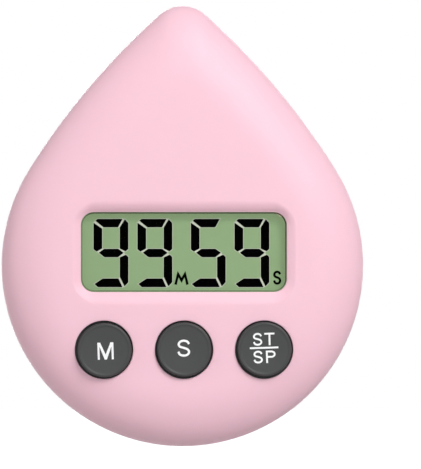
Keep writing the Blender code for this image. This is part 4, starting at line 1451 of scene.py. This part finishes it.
    def build(self) -> None:
        """Makes the casing and puts it in the scene."""
        outer = self.curve(0.0, self.curve_depth, 0.0, steps=40)
        inner_start = self.wall + self.inner_curve_depth
        inner = self.curve(self.side_wall, inner_start, self.wall, steps=14)
        bead, proud = self.seam_bead
        rim = [
            (self.side_wall, self.seam + proud),
            (self.side_wall - bead, self.seam + proud),
            (self.side_wall - bead, self.seam),
            (self.seam_edge, self.seam),
            (self.seam_facet, self.seam - self.seam_facet),
            (0.0, self.seam - self.seam_edge),
        ]
        middle = self.middle(outer[-1][:, (0, 2)], steps=46)
        wall = middle[-1].copy()
        wall[:, 1] = self.wall
        rings = [*self.rings(rim), *outer, *middle, wall, *inner[::-1]]
        mesh = self.lofted("front_case", rings, closed=True)
        holes = [self.hole(across) for across in self.button_places]
        tubes, pilots = self.inside()
        dress(
            "front_case",
            carved(mesh, tubes, holes + pilots),
            PINK.build(),
            Body.CASE,
            ("front_shell",),
        )


@dataclass
class RearCase(Shell):
    """The rear casing: seal groove, screw tubes, battery well and the knob's keyhole pocket."""

    inner_fillet: float = 1.5
    back_fillet: float = 4.0
    draft: float = 0.42
    groove: tuple[float, float, float] = (1.0, 2.4, 11.4)
    boss_radius: float = 3.0
    bore_radius: float = 1.15
    counterbore_radius: float = 2.2
    counterbore_edge: float = 0.3
    well_radius: float = 11.2
    well_outer: float = 13.65
    well_front: float = 12.5
    well_floor: float = 13.5
    well_shoulder: float = 19.7
    collar_radius: float = 15.6
    thread_gap: float = 0.3
    seal_seat: float = 13.1
    flange_gap: float = 0.3
    recess_floor: float = 22.1
    recess_edge: float = 0.25
    pocket_reach: float = 5.2
    pocket_floor: float = 18.9
    pocket_wall: float = 1.2
    slot_half: float = 2.9
    keyhole_edge: float = 0.4
    tail_slots: tuple[tuple[float, float, float, float], ...] = (
        (-1.8, 1.8, 17.7, 18.6),
        (10.0, 10.9, 21.2, 26.8),
    )

    def shell(self) -> bpy.types.Mesh:
        """The bare shell, from its inner corner round the rim to the flat back.

        The side narrows towards the back by the draft, as a moulded side does.

        Returns:
            The shell, still without ribs and openings.
        """
        inside, rim, depth = self.openings.inside, self.openings.rim, self.openings.depth
        corner, fillet = self.side_wall + self.inner_fillet, self.back_fillet
        fine, deep, floor = self.groove
        profile = [
            (corner + TUCK, inside),
            *bend((corner, inside), (self.side_wall, inside - self.inner_fillet), steps=9),
            (self.side_wall, rim),
            (deep, rim),
            (deep, floor),
            (fine, floor),
            (fine, rim),
            (self.seam_edge, rim),
            (self.seam_facet, rim + self.seam_facet),
            (0.0, rim + self.seam_edge),
            *bend((fillet, depth), (self.draft, depth - fillet), steps=20)[::-1],
            (fillet + TUCK, depth),
        ]
        return self.lofted("rear_case", self.rings(profile))

    def pocket(self, name: str, margin: float, front: float, back: float) -> bpy.types.Mesh:
        """A block with round ends that spans the knob's travel.

        Args:
            name: The mesh's name.
            margin: What is added to the knob's room on every side.
            front: Its front's depth.
            back: Its back's depth.

        Returns:
            The mesh.
        """
        reach = self.pocket_reach + margin
        box = (2 * reach, self.openings.lift + 2 * reach, reach * ROUND_END)
        levels = [(*box, depth) for depth in (front, back)]
        return grid_mesh(name, stepped(levels, steps=20, height=self.openings.travel_height))

    def ribs(self) -> list[bpy.types.Mesh]:
        """What stands on the shell's inner side: six tubes, the well and the pocket.

        Returns:
            Their meshes.
        """
        opening = self.openings
        tube = [(self.boss_radius, opening.rim), (self.boss_radius, opening.root)]
        well = [
            (self.well_outer, self.well_front),
            (self.well_outer, self.well_shoulder),
            (self.collar_radius, self.well_shoulder),
            (self.collar_radius, opening.root),
        ]
        front = self.pocket_floor - self.pocket_wall
        tubes = [
            grid_mesh("tube", turned(tube, steps=40, across=x, height=z))
            for x, z in opening.screw_places
        ]
        return [
            *tubes,
            grid_mesh("well", turned(well, steps=120, height=opening.door_height)),
            self.pocket("pocket", self.pocket_wall, front, opening.root),
        ]

    def well_cut(self) -> bpy.types.Mesh:
        """The battery well's cutter: chamber, thread, seal seat and flange recess in one.

        Returns:
            The cutter.
        """
        opening, steps = self.openings, 120
        start, end = opening.thread_span[0] - self.thread_gap, opening.thread_span[1]
        chamber = [(self.well_radius, self.well_floor), (self.well_radius, start)]
        flange = opening.door_radius + self.flange_gap
        flared = flange + self.recess_edge
        mouth = [
            (self.seal_seat, end),
            (self.seal_seat, self.recess_floor),
            (flange, self.recess_floor),
            (flange, opening.depth - self.recess_edge),
            (flared, opening.depth + SKIM),
            (flared, opening.depth + OVERRUN),
        ]
        core = opening.door_core + opening.thread_gap
        grid = np.vstack(
            (
                turned(chamber, steps, height=opening.door_height),
                opening.thread(core, start, end, rings=24, steps=steps),
                turned(mouth, steps, height=opening.door_height),
            )
        )
        return grid_mesh("well_hollow", grid)

    def keyhole_cuts(self) -> list[bpy.types.Mesh]:
        """The knob's pocket, and the keyhole through the back with a soft outer edge.

        Returns:
            The cutters of the pocket, the round entry and the slot.
        """
        opening, edge = self.openings, self.keyhole_edge
        flare = bend((edge, opening.depth), (0.0, opening.depth - edge), steps=6)[::-1]
        flare[-1] += (0.0, SKIM)
        levels = [(0.0, opening.inside - OVERRUN), *flare, (edge, opening.depth + OVERRUN)]
        entry = [(self.pocket_reach + grown, depth) for grown, depth in levels]
        halves = [(self.slot_half + grown, depth) for grown, depth in levels]
        slot = [
            (2 * half, opening.lift + 2 * half, half * ROUND_END, depth) for half, depth in halves
        ]
        entry_height = opening.knob_height - opening.lift
        return [
            self.pocket("pocket_hollow", 0.0, self.pocket_floor, opening.inside),
            grid_mesh("entry", turned(entry, steps=72, height=entry_height)),
            grid_mesh("slot", stepped(slot, steps=16, height=opening.travel_height)),
        ]

    def bores(self) -> list[bpy.types.Mesh]:
        """The screws' bores and counterbores, with a bevel at the back.

        Returns:
            The cutters, one for each screw.
        """
        opening = self.openings
        wide, edge = self.counterbore_radius, self.counterbore_edge
        profile = [
            (self.bore_radius, opening.rim - OVERRUN),
            (self.bore_radius, opening.seat),
            (wide, opening.seat),
            (wide, opening.depth - edge),
            (wide + edge, opening.depth + SKIM),
            (wide + edge, opening.depth + OVERRUN),
        ]
        return [
            grid_mesh("bore", turned(profile, steps=48, across=x, height=z))
            for x, z in opening.screw_places
        ]

    def contact_slots(self) -> list[bpy.types.Mesh]:
        """Two slots in the well's floor, for the contacts' tails.

        Returns:
            The cutters.
        """
        slots = []
        for left, right, foot, top in self.tail_slots:
            outline = np.array([(left, foot), (right, foot), (right, top), (left, top)])
            levels = (self.well_front - OVERRUN, self.well_floor + OVERRUN)
            slots.append(grid_mesh("tail_slot", plate(outline, *levels)))
        return slots

    def build(self) -> None:
        """Makes the casing and puts it in the scene."""
        cuts = [self.well_cut(), *self.keyhole_cuts(), *self.bores(), *self.contact_slots()]
        dress(
            "rear_case",
            carved(self.shell(), self.ribs(), cuts),
            PINK.build(),
            Body.CASE,
            ("rear_shell",),
        )


@dataclass
class Window:
    """The clear lens: a stepped plate that fills the window, with a soft front edge."""

    gap: float = 0.07
    flange: float = 1.9
    front: float = 1.32
    step: float = 2.4
    back: float = 3.2
    edge: float = 0.32
    tuck: float = 0.3
    most_corner: float = 0.95

    def build(self) -> None:
        """Makes the lens and puts it in the scene."""
        width, tall, corner = WINDOW
        side, bent = -self.gap, -self.gap - self.edge
        profile = [
            (bent - self.tuck, self.front),
            *bend((bent, self.front), (side, self.front + self.edge), steps=5),
            (side, self.step),
            (self.flange, self.step),
            (self.flange, self.back),
        ]
        levels = [
            (width + 2 * grown, tall + 2 * grown, corner + min(grown, self.most_corner), depth)
            for grown, depth in profile
        ]
        mesh = grid_mesh("clear_lens", stepped(levels, steps=10, height=WINDOW_HEIGHT))
        dress("clear_lens", mesh, CLEAR.build(), Body.CASE, ("window_lens",))


@dataclass
class Display:
    """What the display shows: four digits of seven segments each, and two small letters.

    A joint is a pale line halfway between an edge of one segment and an edge of its neighbour. It
    is given by each segment's name and the numbers of the edge's two corners.
    """

    front: float = 3.73
    back: float = 3.785
    digits: tuple[tuple[str, float], ...] = (
        ("nine", -17.30),
        ("nine", -8.83),
        ("five", 1.47),
        ("nine", 9.90),
    )
    digit_top: float = 6.35
    joint_front: float = 3.752
    fringe_front: float = 3.765
    joint_width: float = 0.34
    joints: tuple[tuple[str, int, int, str, int, int], ...] = (
        ("a", 0, 4, "f", 0, 1),
        ("a", 2, 3, "b", 0, 5),
        ("f", 3, 2, "g", 0, 1),
        ("b", 3, 4, "g", 3, 2),
        ("g", 3, 4, "c", 1, 0),
        ("c", 5, 4, "d", 2, 3),
    )
    fringe: float = 0.1
    letter_m: Letters = Letters(2.95, 2.62, 0.5)
    letter_s: Letters = Letters(1.66, 2.7, 0.45)
    m_place: tuple[float, float] = (-0.35, -4.9)
    s_place: tuple[float, float] = (18.1, -4.94)

    def segments(self) -> dict[str, list[tuple[float, float]]]:
        """Each segment's corners, as (across, down) from the digit's upper left corner.

        Returns:
            The corners by the segment's letter.
        """
        return {
            "a": [(0.31, 0.31), (0.75, -0.04), (5.58, -0.04), (4.70, 1.60), (1.92, 1.60)],
            "b": [
                *((6.02, 0.02), (6.70, 0.76), (6.70, 5.75)),
                *((6.16, 6.22), (5.03, 5.68), (5.03, 1.62)),
            ],
            "c": [
                *((5.03, 7.38), (6.24, 6.85), (6.70, 7.32)),
                *((6.70, 12.18), (5.95, 12.97), (5.03, 11.10)),
            ],
            "d": [(0.14, 12.51), (1.73, 11.44), (4.79, 11.44), (5.57, 13.13), (0.83, 13.13)],
            "f": [(-0.03, 0.68), (1.65, 1.85), (1.65, 5.66), (0.55, 6.28), (-0.03, 5.82)],
            "g": [
                *((0.99, 6.49), (2.03, 5.72), (4.74, 5.72)),
                *((5.78, 6.49), (4.66, 7.37), (2.11, 7.37)),
            ],
        }

    def build(self) -> None:
        """Makes the digits and the letters and puts them in the scene."""
        lit = {"nine": "abcdfg", "five": "acdfg"}
        corners = {name: np.array(points) * (1, -1) for name, points in self.segments().items()}
        dark, pale = [], []
        for digit, left in self.digits:
            corner = np.array((left, self.digit_top + WINDOW_HEIGHT))
            for segment in lit[digit]:
                outline = corners[segment] + corner
                dark.append(grid_mesh("segment", plate(outline, self.front, self.back)))
                looped = np.vstack((outline[-1:], outline, outline[:1]))
                wider = ribbon(looped, 2 * self.fringe)[1:-1, 0]
                pale.append(grid_mesh("fringe", plate(wider, self.fringe_front, self.back)))
            for first, start, end, second, other_start, other_end in self.joints:
                if first not in lit[digit] or second not in lit[digit]:
                    continue
                line = corners[first][[start, end]] + corners[second][[other_start, other_end]]
                outline = stroke(line / 2 + corner, self.joint_width)
                pale.append(grid_mesh("joint", plate(outline, self.joint_front, self.back)))
        letters = ((self.letter_m.pointed_m(), self.m_place), (self.letter_s.s(), self.s_place))
        for outlines, place in letters:
            for outline in outlines:
                outline = outline + place + (0.0, WINDOW_HEIGHT)
                dark.append(grid_mesh("letter", plate(outline, self.front, self.back)))
        mesh = joined("display_digits", dark)
        dress("display_digits", mesh, SEGMENT.build(), Body.CASE)
        mesh = joined("display_joints", pale)
        dress("display_joints", mesh, JOINT.build(), Body.CASE)


@dataclass
class PushButton:
    """A round cap with a dished top, a flange behind the wall and a pusher."""

    body: Body
    across: float
    radius: float = 5.2
    proud: float = 1.2
    dish: float = 0.17
    dish_radius: float = 4.72
    pole: float = 0.01
    step: tuple[float, float] = (0.08, 24.0)
    edge: tuple[float, float] = (0.32, 0.34)
    edge_power: float = 2.2
    lean: tuple[float, float] = (0.0, 0.0)
    flange: tuple[float, float, float] = (6.2, 2.3, 3.1)
    pusher: tuple[float, float] = (1.8, 5.0)
    ink: tuple[float, float] = (0.03, 0.05)
    tilt: float = math.radians(1.8)

    def legend(self) -> list[Array]:
        """The outlines of the button's letters, about its middle.

        Returns:
            The outlines, each n x 2.
        """
        fine = 0.36
        legends = {
            Body.MINUTES: ((Letters(3.08, 3.28, 0.39).upright_m, (0.26, -0.24)),),
            Body.SECONDS: ((Letters(2.6, 3.3, 0.43).s, (-0.1, 0.32)),),
            Body.START_STOP: (
                (Letters(1.9, 2.45, fine).s, (-1.25, 2.05)),
                (Letters(1.95, 2.4, fine).t, (1.05, 2.05)),
                (Letters(5.5, 0.36, fine).bar, (-0.04, 0.38)),
                (Letters(1.9, 2.45, fine).s, (-1.25, -1.37)),
                (Letters(1.85, 2.38, fine).p, (1.2, -1.37)),
            ),
        }
        return [outline + place for draw, place in legends[self.body] for outline in draw()]

    def print_legend(self) -> None:
        """Prints the letters on the cap's dish and puts them in the scene."""
        turn = 0.0 if self.body is Body.SECONDS else self.tilt
        turning = np.array(
            [[math.cos(turn), math.sin(turn)], [-math.sin(turn), math.cos(turn)]]
        )
        middle = np.array((self.across, BUTTON_HEIGHT))
        marks = [
            inlaid(outline @ turning + middle, lambda p: self.top(p - middle), *self.ink)
            for outline in self.legend()
        ]
        name = self.body.value.replace("button", "mark")
        dress(name, joined(name, marks), INK.build(), self.body)

    def top(self, points: Array) -> Array:
        """The dish's depth at places on the cap, with a fine step at its rim.

        With s = r / radius it is -proud + dish * (1 - s ** 2) ** 2 + step * (1 - s ** power).

        Args:
            points: (across, height) from the cap's middle, as ... x 2.

        Returns:
            The depths.
        """
        share = np.clip(np.linalg.norm(points, axis=-1) / self.dish_radius, 0, 1)
        step, power = self.step
        return -self.proud + self.dish * (1 - share**2) ** 2 + step * (1 - share**power)

    def build(self) -> None:
        """Makes the cap and puts it in the scene."""
        radii = self.dish_radius * np.sin(np.linspace(self.pole, math.pi / 2, 40))
        dish = np.column_stack((radii, self.top(np.column_stack((radii, radii * 0)))))
        wide, deep = self.edge
        start, end = (self.radius - wide, -self.proud), (self.radius, deep - self.proud)
        flange_radius, flange_front, flange_back = self.flange
        pusher_radius, pusher_end = self.pusher
        profile = [
            *dish,
            *bend(start, end, steps=12, power=self.edge_power),
            (self.radius, flange_front),
            (flange_radius, flange_front),
            (flange_radius, flange_back),
            (pusher_radius, flange_back),
            (pusher_radius, pusher_end),
        ]
        aside, up = self.lean
        grid = turned(profile, steps=96, across=self.across + aside, height=BUTTON_HEIGHT + up)
        name = f"{self.body.value}_cap"
        mesh = grid_mesh(name, grid)
        dress(name, mesh, GREY.build(), self.body, (self.body.value,))
        self.print_legend()


@dataclass
class BatteryDoor:
    """The round door with its coarse thread and coin slot, and the ring under its flange."""

    openings: BackOpenings = field(default_factory=BackOpenings)
    flange_front: float = 22.4
    hollow_radius: float = 9.0
    skin_front: float = 22.0
    bevel: float = 0.4
    run_out: float = 0.1
    slot: tuple[float, float, float, float] = (15.0, 1.9, 0.85, 1.0)
    slot_edge: float = 0.2
    ring_section: float = 1.0
    ring_radius: float = 12.1
    ring_depth: float = 21.7

    def door(self) -> bpy.types.Mesh:
        """The door, turned from its back face round its thread to its hollow.

        Returns:
            The door, still without its coin slot.
        """
        opening, steps = self.openings, 144
        back, radius, core = opening.depth, opening.door_radius, opening.door_core
        start, end = opening.thread_span
        outer = [
            (radius - self.bevel - TUCK, back),
            *bend((radius - self.bevel, back), (radius, back - self.bevel), steps=7),
            (radius, self.flange_front),
            (core, self.flange_front),
            (core, end + self.run_out),
        ]
        hollow = [(self.hollow_radius, start), (self.hollow_radius, self.skin_front)]
        grid = np.vstack(
            (
                turned(outer, steps, height=opening.door_height),
                opening.thread(core, end, start, rings=24, steps=steps),
                turned(hollow, steps, height=opening.door_height),
            )
        )
        return grid_mesh("threaded_door", grid)

    def coin_slot(self) -> bpy.types.Mesh:
        """The coin slot's cutter, with a bevelled mouth.

        Returns:
            The cutter.
        """
        length, width, corner, deep = self.slot
        back, edge = self.openings.depth, self.slot_edge
        profile = [(0.0, back - deep), (0.0, back - edge)]
        profile += [(edge, back + SKIM), (edge, back + OVERRUN)]
        levels = [
            (length + 2 * grown, width + 2 * grown, corner + grown, depth)
            for grown, depth in profile
        ]
        return grid_mesh("coin_slot", stepped(levels, steps=8, height=self.openings.door_height))

    def build(self) -> None:
        """Makes the door and its ring and puts them in the scene."""
        mesh = carved(self.door(), [], [self.coin_slot()])
        dress("threaded_door", mesh, PINK.build(), Body.DOOR, ("battery_door",))
        turn = around(steps=16)
        half = self.ring_section / 2
        section = np.column_stack(
            (self.ring_radius + half * np.cos(turn), self.ring_depth + half * np.sin(turn))
        )
        grid = turned(section, steps=120, height=self.openings.door_height)
        mesh = grid_mesh("flange_ring", grid, closed=True)
        dress("flange_ring", mesh, SEAL.build(), Body.DOOR_RING, ("door_seal",))


@dataclass
class CaseScrews:
    """Six cross-head screws that hold the two shells together."""

    openings: BackOpenings = field(default_factory=BackOpenings)
    seat: float = 15.6
    length: float = 10.5
    shank_radius: float = 1.0
    tip_radius: float = 0.2
    tip_length: float = 1.2
    head_radius: float = 1.9
    head_side: float = 0.6
    head_height: float = 1.4
    crown: tuple[float, float] = (1.235, 0.6)
    cross: tuple[float, float, float] = (2.3, 0.5, 0.6)
    cross_taper: float = 0.08
    cross_corner: float = 0.12
    nodes: tuple[str, ...] = (
        "case_screw_tip",
        "case_screw_bottom",
        "case_screw_upper_left",
        "case_screw_upper_right",
        "case_screw_lower_left",
        "case_screw_lower_right",
    )

    def screw(self, name: str, across: float, height: float) -> bpy.types.Mesh:
        """One screw: a turned shank and pan head, with a cross cut in it.

        Args:
            name: The mesh's name.
            across: The screw's place across the case.
            height: Its height.

        Returns:
            The mesh.
        """
        seat, top, tip = self.seat, self.seat + self.head_height, self.seat - self.length
        crown_radius, flat_radius = self.crown
        side = (self.head_radius, seat + self.head_side)
        profile = [
            (self.tip_radius, tip),
            (self.shank_radius, tip + self.tip_length),
            (self.shank_radius, seat),
            (self.head_radius, seat),
            *bend((crown_radius, top), side, steps=8)[::-1],
            (flat_radius, top),
        ]
        place = {"across": across, "height": height}
        body = grid_mesh(name, turned(profile, steps=40, **place))
        long, wide, deep = self.cross
        taper, corner = 2 * self.cross_taper, self.cross_corner
        cuts = []
        for x, z in ((long, wide), (wide, long)):
            levels = [(x - taper, z - taper, corner, top - deep), (x, z, corner, top + OVERRUN)]
            cuts.append(grid_mesh("cross", stepped(levels, steps=4, **place)))
        return carved(body, [], cuts)

    def build(self) -> None:
        """Makes the screws and puts them in the scene."""
        material = ZINC.build()
        for node, (across, height) in zip(self.nodes, self.openings.screw_places):
            name = node.replace("case_screw", "cross_head")
            mesh = self.screw(name, across, height)
            dress(name, mesh, material, Body.CASE, (node,))


@dataclass
class SuctionCup:
    """The suction cup, turned in one piece: rim, dome, stem, neck and mushroom knob."""

    openings: BackOpenings = field(default_factory=BackOpenings)
    radius: float = 17.5
    rim_width: float = 1.5
    rim_thickness: float = 0.8
    dome_height: float = 7.5
    dome_power: float = 1.6
    hollow: float = 4.5
    hollow_power: float = 1.5
    stem_radius: float = 5.0
    standoff: float = 11.0
    neck_radius: float = 2.6
    knob_radius: float = 4.6
    knob: tuple[float, float] = (13.3, 15.5)
    knob_bevel: float = 0.8
    neck_gap: float = 0.3
    pole: float = 0.05

    def profile(self) -> Array:
        """The section from the hollow's middle to the knob's, as (radius, off the wall).

        The hollow is (r * sin(t), depth * s ** power), with s from 1 to 0 and t a right angle
        times 1 - s. The dome rises by the same kind of power from the rim to the stem.

        Returns:
            The points as n x 2.
        """
        along = np.linspace(1, 0, 24)
        inner = (self.radius - self.rim_width) * np.sin(math.pi / 2 * (1 - along))
        hollow = np.column_stack(
            (np.maximum(inner, self.pole), self.hollow * along**self.hollow_power)
        )
        rise = np.linspace(0, 1, 30)
        climb = (self.dome_height - self.rim_thickness) * rise**self.dome_power
        dome = np.column_stack(
            (
                self.radius + (self.stem_radius - self.radius) * rise,
                self.rim_thickness + climb,
            )
        )
        start, end = self.knob
        bevel, neck = self.knob_bevel, self.standoff - self.neck_gap
        upper = softened(
            [
                (*dome[-2], 0.0),
                (self.stem_radius, self.dome_height, 0.6),
                (self.stem_radius, neck, 0.35),
                (self.neck_radius, neck, 0.0),
                (self.neck_radius, start, 0.0),
                (self.knob_radius, start, 0.3),
                (self.knob_radius, end - bevel, 0.6),
                (self.knob_radius - bevel, end, 0.5),
                (self.pole, end, 0.0),
            ]
        )
        return np.vstack((hollow, (self.radius, 0.0), dome[:-2], upper))

    def build(self) -> None:
        """Makes the cup and puts it in the scene."""
        opening = self.openings
        profile = (0.0, opening.depth + self.standoff) + self.profile() * (1, -1)
        mesh = grid_mesh("soft_cup", turned(profile, steps=120, height=opening.knob_height))
        dress("soft_cup", mesh, VINYL.build(), Body.CUP, ("suction_cup",))


@dataclass
class Interior:
    """The pieces inside the case, which keep their CAD shapes and get their finishes."""

    def finishes(self) -> dict[Moulded | Metal | Striped | Board, tuple[str, ...]]:
        """The nodes that each finish goes on.

        Returns:
            The nodes' names by finish.
        """
        return {
            ADHESIVE: ("lens_gasket",),
            POLARISER: ("lcd_polariser",),
            # The display panel's green carries a painted glow.
            DISPLAY: ("lcd_panel",),
            SILVER: ("lcd_reflector",),
            WHITE: ("lcd_frame",),
            ZEBRA: ("zebra_strip",),
            SILICONE: ("keypad_mat",),
            BOARD: ("main_board",),
            RESIN: ("timer_chip",),
            CERAMIC: ("board_capacitor", "board_resistor", "buzzer_ceramic"),
            BRASS: ("buzzer_disc",),
            RED_WIRE: ("buzzer_lead_red",),
            BLACK_WIRE: ("buzzer_lead_black",),
            NICKEL: (
                "quartz_crystal",
                "coin_cell",
                "battery_contact_positive",
                "battery_contact_negative",
            ),
            ZINC: (
                "board_screw_upper_left",
                "board_screw_upper_right",
                "board_screw_lower_left",
                "board_screw_lower_right",
            ),
            SEAL: ("case_seal",),
        }

    def build(self) -> None:
        """Gives each node its finish."""
        for finish, nodes in self.finishes().items():
            material = finish.build()
            for node in nodes:
                mesh = bpy.data.objects[node].data
                mesh.materials.clear()
                mesh.materials.append(material)
                LOG.info("%s: %s", node, finish.name)


# The studio


def aimed(
    name: str,
    data: bpy.types.ID,
    target: tuple[float, float, float],
    away: Vector,
    distance: float,
) -> bpy.types.Object:
    """Puts a camera or a lamp in the scene and turns it towards a target.

    Args:
        name: Its name.
        data: The camera or the light.
        target: What it looks at.
        away: The direction from the target to it, of length 1.
        distance: How far away it is.

    Returns:
        Its object.
    """
    obj = shown(name, data)
    obj.location = Vector(target) + away * distance
    obj.rotation_euler = (-away).to_track_quat("-Z", "Y").to_euler()
    return obj


@dataclass(frozen=True)
class Lamp:
    """A soft square lamp that faces the timer.

    Its power is pi ** 2 * distance ** 2 * level, at which a white surface that faces it sends
    back that level.
    """

    name: str
    direction: tuple[float, float, float]
    distance: float
    size: float
    level: float

    def build(self, target: tuple[float, float, float]) -> None:
        """Puts the lamp in the scene, where its direction leads away from the target.

        Args:
            target: What it lights.
        """
        data = bpy.data.lights.new(self.name, "AREA")
        data.shape = "SQUARE"
        data.size = self.size
        data.energy = math.pi**2 * self.distance**2 * self.level
        aimed(self.name, data, target, Vector(self.direction).normalized(), self.distance)


@dataclass
class Studio:
    """A pale floor, a white world, soft lamps and the camera."""

    target: tuple[float, float, float] = (0.00547, -0.0255, -0.01412)
    distance: float = 2.2
    turn: float = math.radians(2.3)
    frame_height: float = 0.09066
    sensor: float = 24.0
    white: tuple[float, float, float, float] = (1.0, 1.0, 1.0, 1.0)
    ambient: float = 0.36
    leaning: tuple[float, float, float] = (-0.2, -0.35, 0.0)
    floor_drop: float = 0.055
    floor_reach: float = 4.0
    floor_tone: float = 0.5
    floor_grain: float = 0.01
    floor_roughness: float = 0.9
    floor_glow: tuple[float, float] = (0.55, 0.95)
    glow_span: tuple[float, float] = (0.2, 1.0)
    lamps: tuple[Lamp, ...] = (
        Lamp("key_lamp", (0.38, -0.74, 0.55), distance=0.6, size=0.22, level=0.625),
        Lamp("front_lamp", (0.05, -1.0, 0.12), distance=0.8, size=0.5, level=0.12),
        Lamp("back_lamp", (0.05, 1.0, 0.12), distance=0.7, size=0.35, level=0.6),
        Lamp("side_lamp", (-1.0, -0.25, 0.2), distance=0.7, size=0.4, level=0.12),
    )

    def camera(self) -> None:
        """The camera, level with its target, a little to the left of straight on."""
        data = bpy.data.cameras.new("photo_camera")
        data.sensor_fit = "VERTICAL"
        data.sensor_height = self.sensor
        data.lens = self.sensor * self.distance / self.frame_height
        away = Vector((-math.sin(self.turn), -math.cos(self.turn), 0.0))
        bpy.context.scene.camera = aimed("photo_camera", data, self.target, away, self.distance)

    def floor(self) -> None:
        """A wide pale floor under the timer, which looks white far off and keeps the shadow."""
        level, reach = CASE_CORNER.z - self.floor_drop, self.floor_reach
        corners = [(-reach, -reach), (reach, -reach), (reach, reach), (-reach, reach)]
        mesh = bpy.data.meshes.new("floor")
        mesh.from_pydata([(x, y, level) for x, y in corners], [], [(0, 1, 2, 3)])
        material = bpy.data.materials.new("pale_floor")
        material.use_nodes = True
        make = Nodes(material.node_tree)
        place = make.place()
        tone = make.add(
            "ShaderNodeMapRange",
            Value=make.noise(place, scale=40.0, detail=3.0),
            To_Min=self.floor_tone - self.floor_grain,
            To_Max=self.floor_tone + self.floor_grain,
        )
        glow = make.add(
            "ShaderNodeMapRange",
            interpolation_type="SMOOTHSTEP",
            Value=make.vectors("LENGTH", place).outputs["Value"],
            From_Min=self.glow_span[0],
            From_Max=self.glow_span[1],
            To_Min=self.floor_glow[0],
            To_Max=self.floor_glow[1],
        )
        make.fill(
            material.node_tree.nodes["Principled BSDF"],
            Base_Color=tone.outputs["Result"],
            Roughness=self.floor_roughness,
            Emission_Color=self.white,
            Emission_Strength=make.maths("MULTIPLY", self.seen(make), glow.outputs["Result"]),
        )
        mesh.materials.append(material)
        obj = shown("floor", mesh)

    def seen(self, make: Nodes) -> bpy.types.NodeSocket:
        """1 for what the camera sees, straight or in a mirror or through glass, and 0 as light.

        Args:
            make: The tree of a material or of the world.

        Returns:
            The value's socket.
        """
        path = make.add("ShaderNodeLightPath")
        seen = make.maths("MAXIMUM", path.outputs["Is Camera Ray"], path.outputs["Is Glossy Ray"])
        return make.maths("MAXIMUM", seen, path.outputs["Is Transmission Ray"])

    def world(self) -> None:
        """A white world to the eye, in mirrors and through glass, and a dimmer one as light.

        As light it is ambient * (1 + d . leaning) in the direction d.
        """
        world = bpy.data.worlds.new("studio")
        world.use_nodes = True
        bpy.context.scene.world = world
        make = Nodes(world.node_tree)
        direction = make.add("ShaderNodeTexCoord").outputs["Generated"]
        lean = make.vectors("DOT_PRODUCT", direction, self.leaning).outputs["Value"]
        light = make.maths("MULTIPLY", make.maths("ADD", lean, 1.0), self.ambient)
        strength = make.maths("MAXIMUM", self.seen(make), light)
        background = world.node_tree.nodes["Background"]
        make.fill(background, Color=self.white, Strength=strength)

    def build(self) -> None:
        """Sets up the studio."""
        bpy.context.scene.view_settings.view_transform = "Standard"
        self.camera()
        self.floor()
        self.world()
        for lamp in self.lamps:
            lamp.build(self.target)


def main() -> None:
    """Builds the timer's pieces in order."""
    logging.basicConfig(level=logging.INFO, format="%(message)s")
    parts = [
        FrontCase(),
        RearCase(),
        Window(),
        Display(),
        PushButton(Body.MINUTES, -BUTTON_PITCH, lean=(0.1, -0.06)),
        PushButton(Body.SECONDS, 0.0, lean=(0.03, 0.06)),
        PushButton(Body.START_STOP, BUTTON_PITCH, lean=(0.06, 0.12)),
        BatteryDoor(),
        CaseScrews(),
        SuctionCup(),
        Interior(),
        Studio(),
    ]
    for part in parts:
        LOG.info("Building %s", type(part).__name__)
        part.build()


if __name__ == "__main__":
    main()
